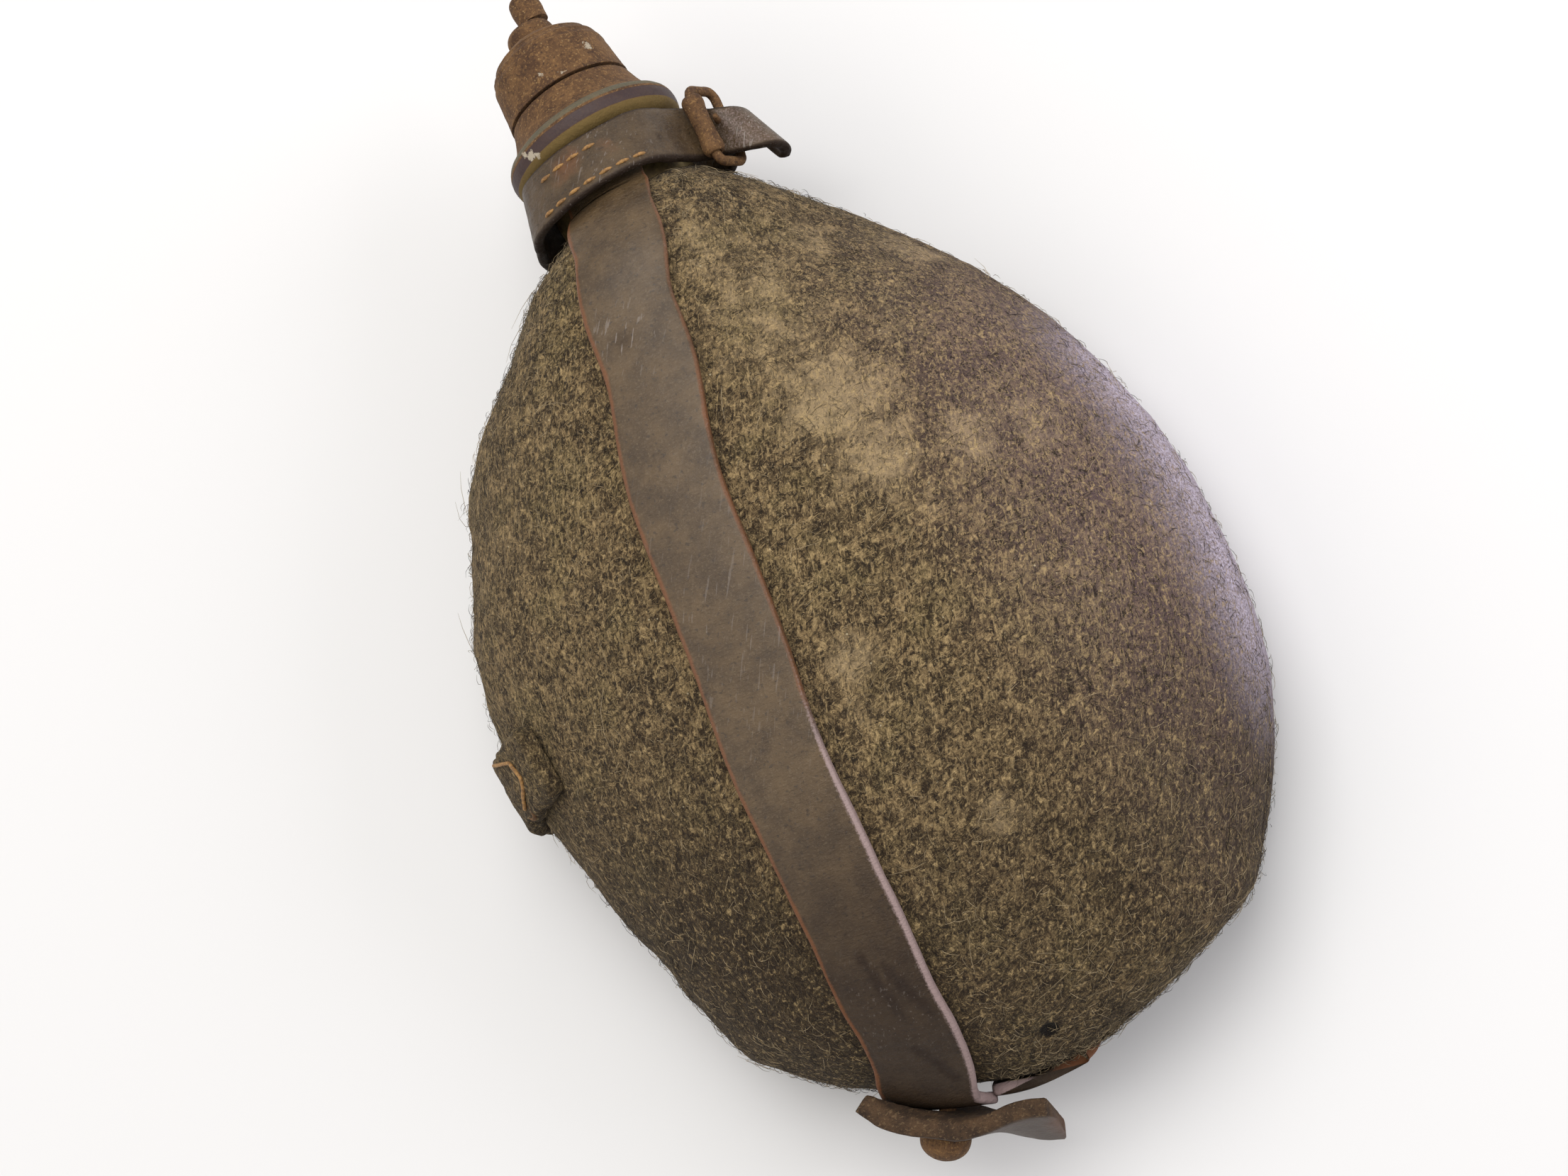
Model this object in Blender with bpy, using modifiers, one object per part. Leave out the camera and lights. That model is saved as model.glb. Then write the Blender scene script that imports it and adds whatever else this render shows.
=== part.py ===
"""Felt-covered field canteen, lying on its back in its leather harness.

Frame: +Y along the neck, +Z from the resting side to the strap side, +X across.
The origin is the middle of the bounding box on the surface it lies on. Metres.
"""

import math

import bmesh
import bpy
import numpy as np
from mathutils import Matrix, Vector

MM = 0.001

# Driving dimensions, in millimetres
HALF_LENGTH = 132.0     # spout tip and strap tab are this far from the origin
NECK_X = 11.2           # neck and cap axis
NECK_Z = 38.0
FELT = 2.6              # felt thickness
FELT_GAP = 1.0          # room between felt and metal
METAL = 1.2             # flask wall
SEAM_GAP = 0.4          # between the two felt halves
SEAM_SLOPE = 0.10       # rise of the seam plane towards the neck
SEAM_HEIGHT = 28.0      # height of the seam plane above the origin
KIDNEY = 15.0           # how far the sides sweep back from the middle

# Felt outline: y, middle x, half width, middle z, half depth
OUTLINE = (
    (74.4, 11.2, 18.4, 38.0, 18.4),
    (72.0, 9.8, 21.7, 38.0, 20.7),
    (69.0, 7.9, 26.6, 37.8, 23.0),
    (61.0, 5.5, 36.0, 37.2, 27.2),
    (47.0, -0.3, 52.8, 37.0, 30.2),
    (29.0, -0.2, 64.3, 37.4, 32.6),
    (9.0, -0.6, 73.1, 38.0, 34.0),
    (-12.0, 1.0, 76.2, 38.4, 34.6),
    (-34.0, 2.3, 76.0, 38.2, 34.4),
    (-56.0, 2.9, 72.9, 37.6, 33.4),
    (-76.0, 2.0, 67.7, 36.4, 31.0),
    (-90.0, 0.2, 61.0, 35.0, 27.6),
    (-101.0, 1.2, 51.4, 33.6, 23.4),
    (-109.6, 5.0, 40.8, 32.4, 18.6),
    (-115.6, 5.2, 27.4, 31.6, 13.2),
    (-119.4, 1.0, 12.6, 31.0, 6.8),
    (-120.6, 0.0, 0.0, 31.0, 0.0),
)
FELT_RINGS = 22
FELT_AROUND = 32
FLASK_RINGS = 14
FLASK_AROUND = 24

# Neck and cap, radii about the neck axis
NECK_RADIUS = 15.8
MOUTH_RADIUS = 9.4
MOUTH_TOP = 116.0
DRUM_BASE = 105.2
DRUM_CEILING = 118.2    # inner face of the drum's top wall
DRUM_BORE = 11.2
SPIGOT_RADIUS = 4.3
SPOUT_RADIUS = 3.3
SPOUT_BORE = 1.5
SPOUT_OFFSET = 2.3      # spout axis from the cap axis, along X
THREAD_PITCH = 3.0

# Leather harness
STRAP_WIDTH = 18.6
STRAP = 2.4             # strap thickness
SKIVED = 1.5            # thinned strap end under the neck strap
CONTACT = 0.4           # gap between leather and what it lies on
NECK_STRAP = 2.4
NECK_STRAP_HALF = 6.5   # half its width
NECK_STRAP_MID = 20.2   # radius to the middle of its thickness
NECK_STRAP_Y = 82.3
NECK_STRAP_LEAN = 0.9   # it sits higher on the -X side
NECK_STRAP_FLARE = 1.9  # its lower edge stands out by this, the upper in
NECK_STRAP_BUMP = 2.2   # swelling over the strap ends sewn under it
END_LIFT = 1.85         # front strap's end above the felt, over the washer
# Routes along the felt: (along, around) as parts of the surface
FRONT_ROUTE = (
    (0.004, 0.249), (0.022, 0.243), (0.052, 0.235), (0.126, 0.234), (0.194, 0.236),
    (0.300, 0.254), (0.396, 0.265), (0.460, 0.274), (0.543, 0.286), (0.632, 0.294),
    (0.722, 0.307), (0.772, 0.329), (0.807, 0.364), (0.829, 0.405), (0.846, 0.447),
    (0.859, 0.487), (0.864, 0.515),
)
BACK_ROUTE = (
    (0.004, 0.750), (0.06, 0.756), (0.14, 0.760), (0.25, 0.760), (0.40, 0.757),
    (0.55, 0.751), (0.68, 0.742), (0.78, 0.728), (0.86, 0.700), (0.915, 0.650),
    (0.945, 0.580), (0.955, 0.530), (0.957, 0.500),
)

# Roller buckle on the +X side of the neck; its bars lean out a little towards the cap
BUCKLE_Y = 80.2
BUCKLE_LEAN = (0.105, 0.9945, 0.0)
ROLLER_AT = (34.4, 46.2)
PIVOT_AT = (37.5, 37.8)
WIRE = 1.05             # wire radius
FRAME_HALF = 8.5
ROLLER_RADIUS = 2.1
ROLLER_HALF = 6.7
PRONG = ((37.1, 40.9), (37.2, 43.2), (37.45, 45.4), (37.7, 46.8))
PRONG_WIRE = 0.65
# Middle of the tongue from its curled end to the neck, and of the chape, as (x, y, z)
TONGUE = (
    (41.8, 74.9, 32.8), (43.3, 74.9, 35.4), (43.5, 75.2, 38.8), (42.1, 75.8, 41.6),
    (39.2, 77.0, 42.6), (36.4, 78.8, 42.0), (33.4, 80.2, 42.0), (30.4, 81.0, 44.8),
)
CHAPE = ((28.4, 80.6, 26.4), (31.4, 80.5, 29.8), (33.8, 80.4, 33.0), (35.2, 80.4, 34.8))
TONGUE_SLANT = 0.30     # its curled end is turned by this much of a radian

# Stud and tab at the bottom
STUD_AT = (-27.5, -113.4, 30.0)
STUD_AXIS = (-0.6, -0.8, 0.0)
STUD_HEAD = 5.2
STUD_HEIGHT = 4.2
STUD_POST = 1.8
STUD_LIFT = 9.8         # underside of the head above the felt
TAB = 4.0               # tab thickness
TAB_HALF = 8.5
TAB_Z = 30.5
TAB_ROUTE = (
    (-39.8, -106.6), (-36.2, -114.0), (-30.4, -120.4), (-23.2, -124.0), (-16.4, -127.2),
    (-10.2, -130.3),
)


def material(name, colour, roughness, metallic=0.0):
    """Plain principled material."""
    mat = bpy.data.materials.new(name)
    mat.use_nodes = True
    shader = mat.node_tree.nodes["Principled BSDF"]
    shader.inputs["Base Color"].default_value = (*colour, 1.0)
    shader.inputs["Roughness"].default_value = roughness
    shader.inputs["Metallic"].default_value = metallic
    mat.diffuse_color = (*colour, 1.0)
    return mat


def collection(name):
    """New collection in the scene."""
    made = bpy.data.collections.new(name)
    bpy.context.scene.collection.children.link(made)
    return made


def add_object(name, mesh, mat, where):
    """Object from a mesh or bmesh, in its collection."""
    if isinstance(mesh, bmesh.types.BMesh):
        data = bpy.data.meshes.new(name)
        mesh.to_mesh(data)
        mesh.free()
    else:
        data = mesh
    obj = bpy.data.objects.new(name, data)
    where.objects.link(obj)
    if mat is not None:
        obj.data.materials.append(mat)
    return obj


def smooth(obj, angle=35.0):
    """Shade smooth, with edges over the angle left sharp."""
    obj.data.shade_smooth()
    obj.data.set_sharp_from_angle(angle=math.radians(angle))
    return obj


def as_cutter(obj):
    """Hide a guide solid that only cuts."""
    obj.hide_render = True
    obj.display_type = "WIRE"
    return obj


def cut(obj, cutter, operation="DIFFERENCE"):
    """Exact boolean of obj with the cutter."""
    mod = obj.modifiers.new("cut_" + cutter.name, "BOOLEAN")
    mod.operation = operation
    mod.object = cutter
    mod.solver = "EXACT"
    return mod


def curve_through(rows, where):
    """Rows read at chord-length positions 0..1 by a cubic with finite-difference slopes."""
    rows = np.asarray(rows, float)
    step = np.linalg.norm(np.diff(rows, axis=0), axis=1)
    knots = np.concatenate([[0.0], np.cumsum(step)])
    knots /= knots[-1]
    slopes = np.gradient(rows, knots, axis=0)
    at = np.clip(np.asarray(where, float), 0.0, 1.0)
    left = np.clip(np.searchsorted(knots, at, side="right") - 1, 0, len(knots) - 2)
    width = (knots[left + 1] - knots[left])[:, None]
    u = ((at - knots[left]) / width[:, 0])[:, None]
    start, end = rows[left], rows[left + 1]
    return ((2 * u**3 - 3 * u**2 + 1) * start + (u**3 - 2 * u**2 + u) * width * slopes[left]
            + (3 * u**2 - 2 * u**3) * end + (u**3 - u**2) * width * slopes[left + 1])


def felt_point(along, around):
    """Point on the felt's outer face; around turns from +X over the strap side."""
    along = np.atleast_1d(along)
    around = np.atleast_1d(around)
    y, mid_x, half_w, mid_z, half_d = curve_through(OUTLINE, along).T
    full = np.clip((half_w - 21.0) / 40.0, 0.0, 1.0)
    full = full * full * (3.0 - 2.0 * full)
    turn = around * 2.0 * math.pi
    side, up = np.cos(turn), np.sin(turn)
    power = np.where(up > 0.0, 2.0 + 0.3 * full, 2.0 + 1.6 * full)
    rise = np.clip(1.0 - np.abs(side) ** power, 0.0, 1.0) ** (1.0 / power)
    x = mid_x + half_w * side
    z = mid_z + np.sign(up) * half_d * rise - KIDNEY * full * side**2
    return np.stack([x, y, z], axis=1)


def felt_normal(along, around, step=0.004):
    """Outward unit normal of the felt surface."""
    ahead = felt_point(np.minimum(along + step, 0.9995), around)
    behind = felt_point(np.maximum(along - step, 0.0), around)
    left = felt_point(along, around + step)
    right = felt_point(along, around - step)
    normal = np.cross(left - right, ahead - behind)
    length = np.linalg.norm(normal, axis=1, keepdims=True)
    return normal / np.maximum(length, 1e-9)


def felt_at(along, around, outward):
    """Point a distance outward of the felt's outer face."""
    along = np.minimum(np.atleast_1d(along), 0.9995)
    around = np.atleast_1d(around)
    return felt_point(along, around) + outward * felt_normal(along, around)


def ring_positions(rings):
    """Positions along the felt, closer together towards the bottom."""
    even = np.linspace(0.0, 1.0, rings + 1)[:-1]
    return even + 0.10 * np.sin(math.pi * even) * even


def rings_mesh(rings, pole=None):
    """Open tube of quads from rings of points in metres, closed by a fan at the pole."""
    bm = bmesh.new()
    made = [[bm.verts.new(Vector(p) * MM) for p in ring] for ring in rings]
    count = len(made[0])
    for first, second in zip(made, made[1:]):
        for i in range(count):
            j = (i + 1) % count
            bm.faces.new((first[i], first[j], second[j], second[i]))
    if pole is not None:
        tip = bm.verts.new(Vector(pole) * MM)
        for i in range(count):
            bm.faces.new((made[-1][i], made[-1][(i + 1) % count], tip))
    return bm


def felt_rings(count, around, outward, start=0.0):
    """Rings of the felt shape a distance outward of its outer face, and its pole."""
    turns = np.arange(around) / around
    rings = []
    for along in ring_positions(count):
        if along < start:
            continue
        points = felt_at(np.full(around, along), turns, outward)
        points[:, 2] = np.maximum(points[:, 2], max(-outward, 0.0))
        rings.append(points)
    pole = np.array(felt_point([1.0], [0.0])[0])
    pole[1] -= outward
    return rings, pole


def shell(name, bm, thickness, mat, where, offset=-1.0):
    """Give an open surface its wall."""
    obj = add_object(name, bm, mat, where)
    wall = obj.modifiers.new("wall", "SOLIDIFY")
    wall.thickness = thickness * MM
    wall.offset = offset
    wall.use_even_offset = True
    return smooth(obj)


def turned(name, profile, mat, where, base=(NECK_X, 0.0, NECK_Z), axis=(0.0, 1.0, 0.0), steps=24):
    """Solid turned about an axis; profile is (radius, height), outer side first, top to bottom."""
    bm = bmesh.new()
    verts = [bm.verts.new((radius * MM, 0.0, height * MM)) for radius, height in profile]
    for first, second in zip(verts, verts[1:]):
        bm.edges.new((first, second))
    if profile[0][0] > 0.0:
        bm.edges.new((verts[-1], verts[0]))
    obj = add_object(name, bm, mat, where)
    turn = obj.modifiers.new("turn", "SCREW")
    turn.steps = steps
    turn.render_steps = steps
    turn.use_merge_vertices = True
    turn.merge_threshold = 0.00005
    turn.use_normal_calculate = False
    obj.rotation_mode = "QUATERNION"
    obj.rotation_quaternion = Vector((0.0, 0.0, 1.0)).rotation_difference(Vector(axis))
    obj.location = Vector(base) * MM
    return smooth(obj, 40.0)


def drill(obj, radius, base, axis, length, cutters):
    """Round hole through an object from base along axis."""
    bpy.ops.mesh.primitive_cylinder_add(vertices=20, radius=radius * MM, depth=length * MM)
    drill_bit = bpy.context.active_object
    drill_bit.name = obj.name + "_drill"
    drill_bit.rotation_mode = "QUATERNION"
    drill_bit.rotation_quaternion = Vector((0.0, 0.0, 1.0)).rotation_difference(Vector(axis))
    drill_bit.location = (Vector(base) + Vector(axis).normalized() * length / 2.0) * MM
    move_to(drill_bit, cutters)
    cut(obj, as_cutter(drill_bit))


def move_to(obj, where):
    """Put an object in one collection only."""
    for holder in list(obj.users_collection):
        holder.objects.unlink(obj)
    where.objects.link(obj)


def strap_face(middle, reach, normal, curl, side_cuts):
    """Rows of points across a strap's under face; curl is the radius of its arc across."""
    across = np.linspace(-1.0, 1.0, side_cuts + 1)[None, :, None]
    width = np.linalg.norm(reach, axis=1)[:, None, None]
    radius = np.asarray(curl, float)[:, None, None]
    drop = radius - np.sqrt(radius**2 - (across * width) ** 2)
    return middle[:, None] + reach[:, None] * across - normal[:, None] * drop


def clear_of_felt(face, lift):
    """Push the points of a strap face out until they stand clear of the felt."""
    along, around = np.meshgrid(np.linspace(0.0, 0.9995, 160), np.arange(200) / 200.0)
    felt = felt_point(along.ravel(), around.ravel())
    normal = felt_normal(along.ravel(), around.ravel())
    for point, room in zip(face.reshape(-1, 3), np.repeat(lift, face.shape[1])):
        nearest = np.argmin(np.sum((felt - point) ** 2, axis=1))
        depth = room - np.dot(point - felt[nearest], normal[nearest])
        point += normal[nearest] * max(depth, 0.0)
    return face


def ribbon(name, face, normal, thickness, mat, where):
    """Strap solid from the rows of its under face, the normals and thickness of each row."""
    bm = bmesh.new()
    top = face + normal[:, None] * np.asarray(thickness, float)[:, None, None]
    loops = [[bm.verts.new(Vector(p) * MM) for p in np.concatenate([low, high[::-1]])]
             for low, high in zip(face, top)]
    count = len(loops[0])
    for first, second in zip(loops, loops[1:]):
        for i in range(count):
            j = (i + 1) % count
            bm.faces.new((first[i], first[j], second[j], second[i]))
    for loop in (loops[0], loops[-1]):
        for i in range(count // 2 - 1):
            bm.faces.new((loop[i], loop[i + 1], loop[count - 2 - i], loop[count - 1 - i]))
    bmesh.ops.recalc_face_normals(bm, faces=bm.faces)
    return smooth(add_object(name, bm, mat, where))


def fade(value, start, end):
    """0 before start, 1 after end, smooth between."""
    u = np.clip((np.asarray(value) - start) / (end - start), 0.0, 1.0)
    return u * u * (3.0 - 2.0 * u)


def body_strap(name, route, end_lift, mat, where, samples=30):
    """Strap sewn under the neck strap and laid over the felt along a route."""
    place = np.linspace(0.0, 1.0, samples)
    stations = curve_through(route, place)
    base = felt_at(stations[:, 0], stations[:, 1], 0.0)
    normal = felt_normal(stations[:, 0], stations[:, 1])
    side = 1.0 if normal[0, 2] > 0.0 else -1.0
    lift = CONTACT + (end_lift - CONTACT) * fade(place, 0.80, 0.92) + 0.5 * (1.0 - fade(place, 0.1, 0.25))
    base = base + normal * lift[:, None]
    under = [(NECK_X, 86.4, NECK_Z + side * (NECK_RADIUS + 0.5)),
             (NECK_X, 83.2, NECK_Z + side * (NECK_RADIUS + 0.6)),
             (NECK_X, 80.0, NECK_Z + side * (NECK_RADIUS + 1.0)),
             (NECK_X, 77.0, NECK_Z + side * (NECK_RADIUS + 2.2))]
    middle = np.concatenate([under, base])
    normal = np.concatenate([np.tile((0.0, 0.0, side), (len(under), 1)), normal])
    across = np.cross(normal, np.gradient(middle, axis=0))
    across /= np.linalg.norm(across, axis=1, keepdims=True)
    spot = np.linspace(0.0, 1.0, len(middle))
    thick = SKIVED + (STRAP - SKIVED) * fade(spot, 0.16, 0.24)
    curl = 17.5 + 72.0 * fade(spot, 0.08, 0.3)
    face = strap_face(middle, across * STRAP_WIDTH / 2.0, normal, curl, 4)
    face[4:] = clear_of_felt(face[4:], lift)
    return ribbon(name, face, normal, thick, mat, where)


def build_flask(parts, mats):
    """Metal flask: body inside the felt and a stepped neck up to the threaded mouth."""
    inner = -(FELT + FELT_GAP)
    body, pole = felt_rings(FLASK_RINGS, FLASK_AROUND, inner, start=0.15)
    neck = ((MOUTH_TOP, MOUTH_RADIUS), (105.5, MOUTH_RADIUS), (101.0, 10.4), (96.5, 13.0),
            (91.0, 15.4), (88.0, NECK_RADIUS), (78.0, NECK_RADIUS), (72.0, 15.6))
    turns = np.arange(FLASK_AROUND) / FLASK_AROUND * 2.0 * math.pi
    rings = [np.stack([NECK_X + radius * np.cos(turns), np.full(FLASK_AROUND, y),
                       NECK_Z + radius * np.sin(turns)], axis=1) for y, radius in neck]
    shell("flask_body", rings_mesh(rings + body, pole), METAL, mats["tin"], parts)
    inside, root, crest = MOUTH_RADIUS + 0.3, MOUTH_RADIUS + 0.9, MOUTH_RADIUS + 1.4
    ridges = [(root, 115.6)]
    for turn in range(3):
        top = 114.6 - turn * THREAD_PITCH
        ridges += [(root, top), (crest, top - 0.7), (crest, top - 1.1), (root, top - 1.8)]
    turned("thread_sleeve", ridges + [(root, 106.2), (inside, 106.2), (inside, 115.6)],
           mats["brass"], parts)


def build_covers(parts, cutters, mats):
    """Two felt halves with a side seam on a sloping plane, the tab that closes it and its wire ring."""
    size = 400.0
    tilt = math.atan(SEAM_SLOPE)
    for name, side in (("cover_front", -1.0), ("cover_back", 1.0)):
        rings, pole = felt_rings(FELT_RINGS, FELT_AROUND, 0.0)
        cover = shell(name, rings_mesh(rings, pole), FELT, mats["felt"], parts)
        bpy.ops.mesh.primitive_cube_add(size=size * MM)
        block = bpy.context.active_object
        block.name = name + "_cutter"
        shift = side * (size - SEAM_GAP) / 2.0 * MM
        block.matrix_world = (Matrix.Translation((0.0, 0.0, SEAM_HEIGHT * MM))
                              @ Matrix.Rotation(tilt, 4, "X")
                              @ Matrix.Translation((0.0, 0.0, shift)))
        move_to(block, cutters)
        cut(cover, as_cutter(block))
    around = np.linspace(0.412, 0.505, 7)
    along = np.full(7, 0.424)
    normal = felt_normal(along, around)
    reach = np.tile((0.0, 7.6, 0.0), (7, 1))
    face = strap_face(felt_at(along, around, CONTACT), reach, normal, np.full(7, 90.0), 3)
    ribbon("cover_tab", clear_of_felt(face, np.full(7, CONTACT)), normal, np.full(7, 2.4),
           mats["felt"], parts)
    spot = felt_at([0.446], [0.436], 3.9)[0]
    bpy.ops.mesh.primitive_torus_add(major_radius=2.1 * MM, minor_radius=0.55 * MM,
                                     major_segments=24, minor_segments=8)
    eye = bpy.context.active_object
    eye.name = "cover_hook"
    up = Vector(felt_normal(np.array([0.446]), np.array([0.436]))[0])
    eye.rotation_mode = "QUATERNION"
    eye.rotation_quaternion = Vector((0.0, 0.0, 1.0)).rotation_difference(up)
    eye.location = Vector(spot) * MM
    eye.data.materials.append(mats["rust"])
    move_to(smooth(eye), parts)


def build_cap(parts, cutters, mats):
    """Neck cone with bead and rolled rim, the screw cap with its spout, and the cap's seal."""
    cone = ((11.9, 104.7), (14.0, 104.5), (15.1, 101.5), (16.6, 98.6), (18.2, 96.9), (19.2, 96.2),
            (19.8, 94.8), (19.7, 92.6), (18.9, 90.6), (17.6, 89.8), (16.5, 90.2), (16.3, 91.2),
            (17.4, 91.6), (18.3, 93.0), (18.3, 94.4), (17.6, 95.2), (15.4, 97.4), (13.6, 101.0),
            (11.9, 103.4))
    turned("neck_cone", cone, mats["rust"], parts)
    drum = ((5.6, 121.2), (8.9, 119.7), (10.9, 118.2), (11.9, 117.0), (12.4, 116.0), (12.9, 115.0),
            (13.3, 113.2), (13.6, 110.4), (13.9, 107.6), (14.2, DRUM_BASE),
            (DRUM_BORE + 0.4, DRUM_BASE), (DRUM_BORE, DRUM_BASE + 0.6),
            (DRUM_BORE, DRUM_CEILING), (SPIGOT_RADIUS + 0.3, DRUM_CEILING),
            (SPIGOT_RADIUS + 0.3, 121.2))
    turned("cap_drum", drum, mats["rust"], parts)
    boss = ((0.0, 125.0), (4.4, 125.0), (5.3, 123.8), (5.5, 122.2), (5.4, 121.5),
            (SPIGOT_RADIUS, 121.5), (SPIGOT_RADIUS, 118.6), (0.0, 118.6))
    boss_obj = turned("cap_boss", boss, mats["rust"], parts)
    bore_at = (NECK_X + SPOUT_OFFSET, 110.0, NECK_Z)
    drill(boss_obj, SPOUT_BORE, bore_at, (0.0, 1.0, 0.0), 20.0, cutters)
    tip = HALF_LENGTH
    spout = ((SPOUT_BORE, tip), (SPOUT_RADIUS - 0.9, tip), (SPOUT_RADIUS - 0.3, tip - 0.7),
             (SPOUT_RADIUS, tip - 1.8), (SPOUT_RADIUS, 125.3), (SPOUT_BORE, 125.3))
    tube_obj = turned("spout_tube", spout, mats["rust"], parts,
                      base=(NECK_X + SPOUT_OFFSET, 0.0, NECK_Z), steps=20)
    bpy.context.view_layer.update()
    tube_obj.parent = boss_obj
    tube_obj.matrix_parent_inverse = boss_obj.matrix_world.inverted()
    seal = ((DRUM_BORE - 0.5, DRUM_CEILING - 0.3), (DRUM_BORE - 0.5, MOUTH_TOP + 0.35),
            (6.0, MOUTH_TOP + 0.35), (6.0, DRUM_CEILING - 0.3))
    turned("cap_seal", seal, mats["rubber"], parts)


def neck_strap_line():
    """Middle line of the neck strap, from the tongue's end round the neck to the chape."""
    turns = np.radians(np.linspace(44.0, 310.0, 40))
    swell = NECK_STRAP_BUMP * sum(1.0 - fade(np.abs(np.degrees(turns) - middle), 34.0, 62.0)
                                  for middle in (96.0, 264.0))
    radius = NECK_STRAP_MID + swell
    ring = np.stack([NECK_X + radius * np.cos(turns), NECK_STRAP_Y - NECK_STRAP_LEAN * np.cos(turns),
                     NECK_Z + radius * np.sin(turns)], axis=1)
    return np.concatenate([TONGUE, ring, CHAPE])


def build_neck_strap(parts, cutters, mats):
    """Neck strap: tongue under the roller, round the neck, and back to the pivot bar."""
    samples = 64
    line = curve_through(neck_strap_line(), np.linspace(0.0, 1.0, samples))
    forward = np.gradient(line, axis=0)
    forward[:, 1] = 0.0
    forward /= np.linalg.norm(forward, axis=1, keepdims=True)
    up = np.stack([forward[:, 2], np.zeros(samples), -forward[:, 0]], axis=1)
    radial = line - np.array([NECK_X, 0.0, NECK_Z])
    radial[:, 1] = 0.0
    up *= np.sign(np.sum(up[samples // 2] * radial[samples // 2]))
    away = np.linalg.norm(radial, axis=1)
    turn = np.degrees(np.arctan2(radial[:, 2], radial[:, 0])) % 360.0
    flare = NECK_STRAP_FLARE * fade(turn, 44.0, 75.0) * (1.0 - fade(turn, 292.0, 312.0))
    flare *= 1.0 - fade(away, 22.8, 26.0)
    slant = TONGUE_SLANT * (1.0 - fade(np.linspace(0.0, 1.0, samples), 0.05, 0.17))
    reach = NECK_STRAP_HALF * np.stack([-np.sin(slant), np.cos(slant), 0.0 * slant], axis=1)
    reach -= up * flare[:, None]
    face = strap_face(line - up * NECK_STRAP / 2.0, reach, up, np.full(samples, 400.0), 2)
    strap = ribbon("neck_strap", face, up, np.full(samples, NECK_STRAP), mats["leather"], parts)
    drill(strap, 1.6, (PRONG[1][0], BUCKLE_Y - 0.4, 40.6), (0.0, 0.0, 1.0), 5.0, cutters)


def tube(name, points, radius, mat, where, closed=False, origin=(0.0, 0.0, 0.0)):
    """Round wire along points in millimetres, made a mesh with its origin where given."""
    curve = bpy.data.curves.new(name, "CURVE")
    curve.dimensions = "3D"
    curve.bevel_depth = radius * MM
    curve.bevel_resolution = 2
    curve.use_fill_caps = not closed
    spline = curve.splines.new("POLY")
    spline.points.add(len(points) - 1)
    for point, place in zip(spline.points, points):
        point.co = (*((Vector(place) - Vector(origin)) * MM), 1.0)
    spline.use_cyclic_u = closed
    guide = bpy.data.objects.new(name + "_path", curve)
    bpy.context.scene.collection.objects.link(guide)
    swept = bpy.data.meshes.new_from_object(guide.evaluated_get(bpy.context.evaluated_depsgraph_get()))
    bpy.data.objects.remove(guide, do_unlink=True)
    bm = bmesh.new()
    bm.from_mesh(swept)
    bmesh.ops.remove_doubles(bm, verts=bm.verts, dist=0.00002)
    bmesh.ops.recalc_face_normals(bm, faces=bm.faces)
    wire = add_object(name, bm, mat, where)
    wire.location = Vector(origin) * MM
    return smooth(wire)


def arc(centre, radius, start, end, steps):
    """Points of an arc in a plane, angles in degrees."""
    angles = np.radians(np.linspace(start, end, steps))
    return [(centre[0] + radius * math.cos(a), centre[1] + radius * math.sin(a)) for a in angles]


def build_buckle(parts, mats):
    """Wire frame, the roller on its outer bar and the prong on its pivot bar."""
    roller, pivot = Vector(ROLLER_AT), Vector(PIVOT_AT)
    length = (roller - pivot).length
    along = (roller - pivot) / length
    corner = 2.0
    flat = []
    for (u, v), start in (((length - corner, FRAME_HALF - corner), 0.0),
                          ((corner, FRAME_HALF - corner), 90.0),
                          ((corner, corner - FRAME_HALF), 180.0),
                          ((length - corner, corner - FRAME_HALF), 270.0)):
        flat += arc((u, v), corner, start, start + 90.0, 5)
    points = [(pivot[0] + along[0] * u + BUCKLE_LEAN[0] * v, BUCKLE_Y + BUCKLE_LEAN[1] * v,
               pivot[1] + along[1] * u) for u, v in flat]
    tube("buckle_frame", points, WIRE, mats["rust"], parts, closed=True)
    ends = ((ROLLER_RADIUS - 0.3, ROLLER_HALF), (ROLLER_RADIUS, ROLLER_HALF - 0.4),
            (ROLLER_RADIUS, 0.4 - ROLLER_HALF), (ROLLER_RADIUS - 0.3, -ROLLER_HALF),
            (WIRE + 0.25, -ROLLER_HALF), (WIRE + 0.25, ROLLER_HALF))
    turned("buckle_roller", ends, mats["rust"], parts, base=(ROLLER_AT[0], BUCKLE_Y, ROLLER_AT[1]),
           axis=BUCKLE_LEAN, steps=20)
    eye = [(x, BUCKLE_Y, z) for x, z in arc(PIVOT_AT, WIRE + 1.05, -110.0, 110.0, 12)]
    shank = [(x, BUCKLE_Y, z) for x, z in PRONG]
    tube("buckle_prong", eye + shank, PRONG_WIRE, mats["rust"], parts,
         origin=(PIVOT_AT[0], BUCKLE_Y, PIVOT_AT[1]))


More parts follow.
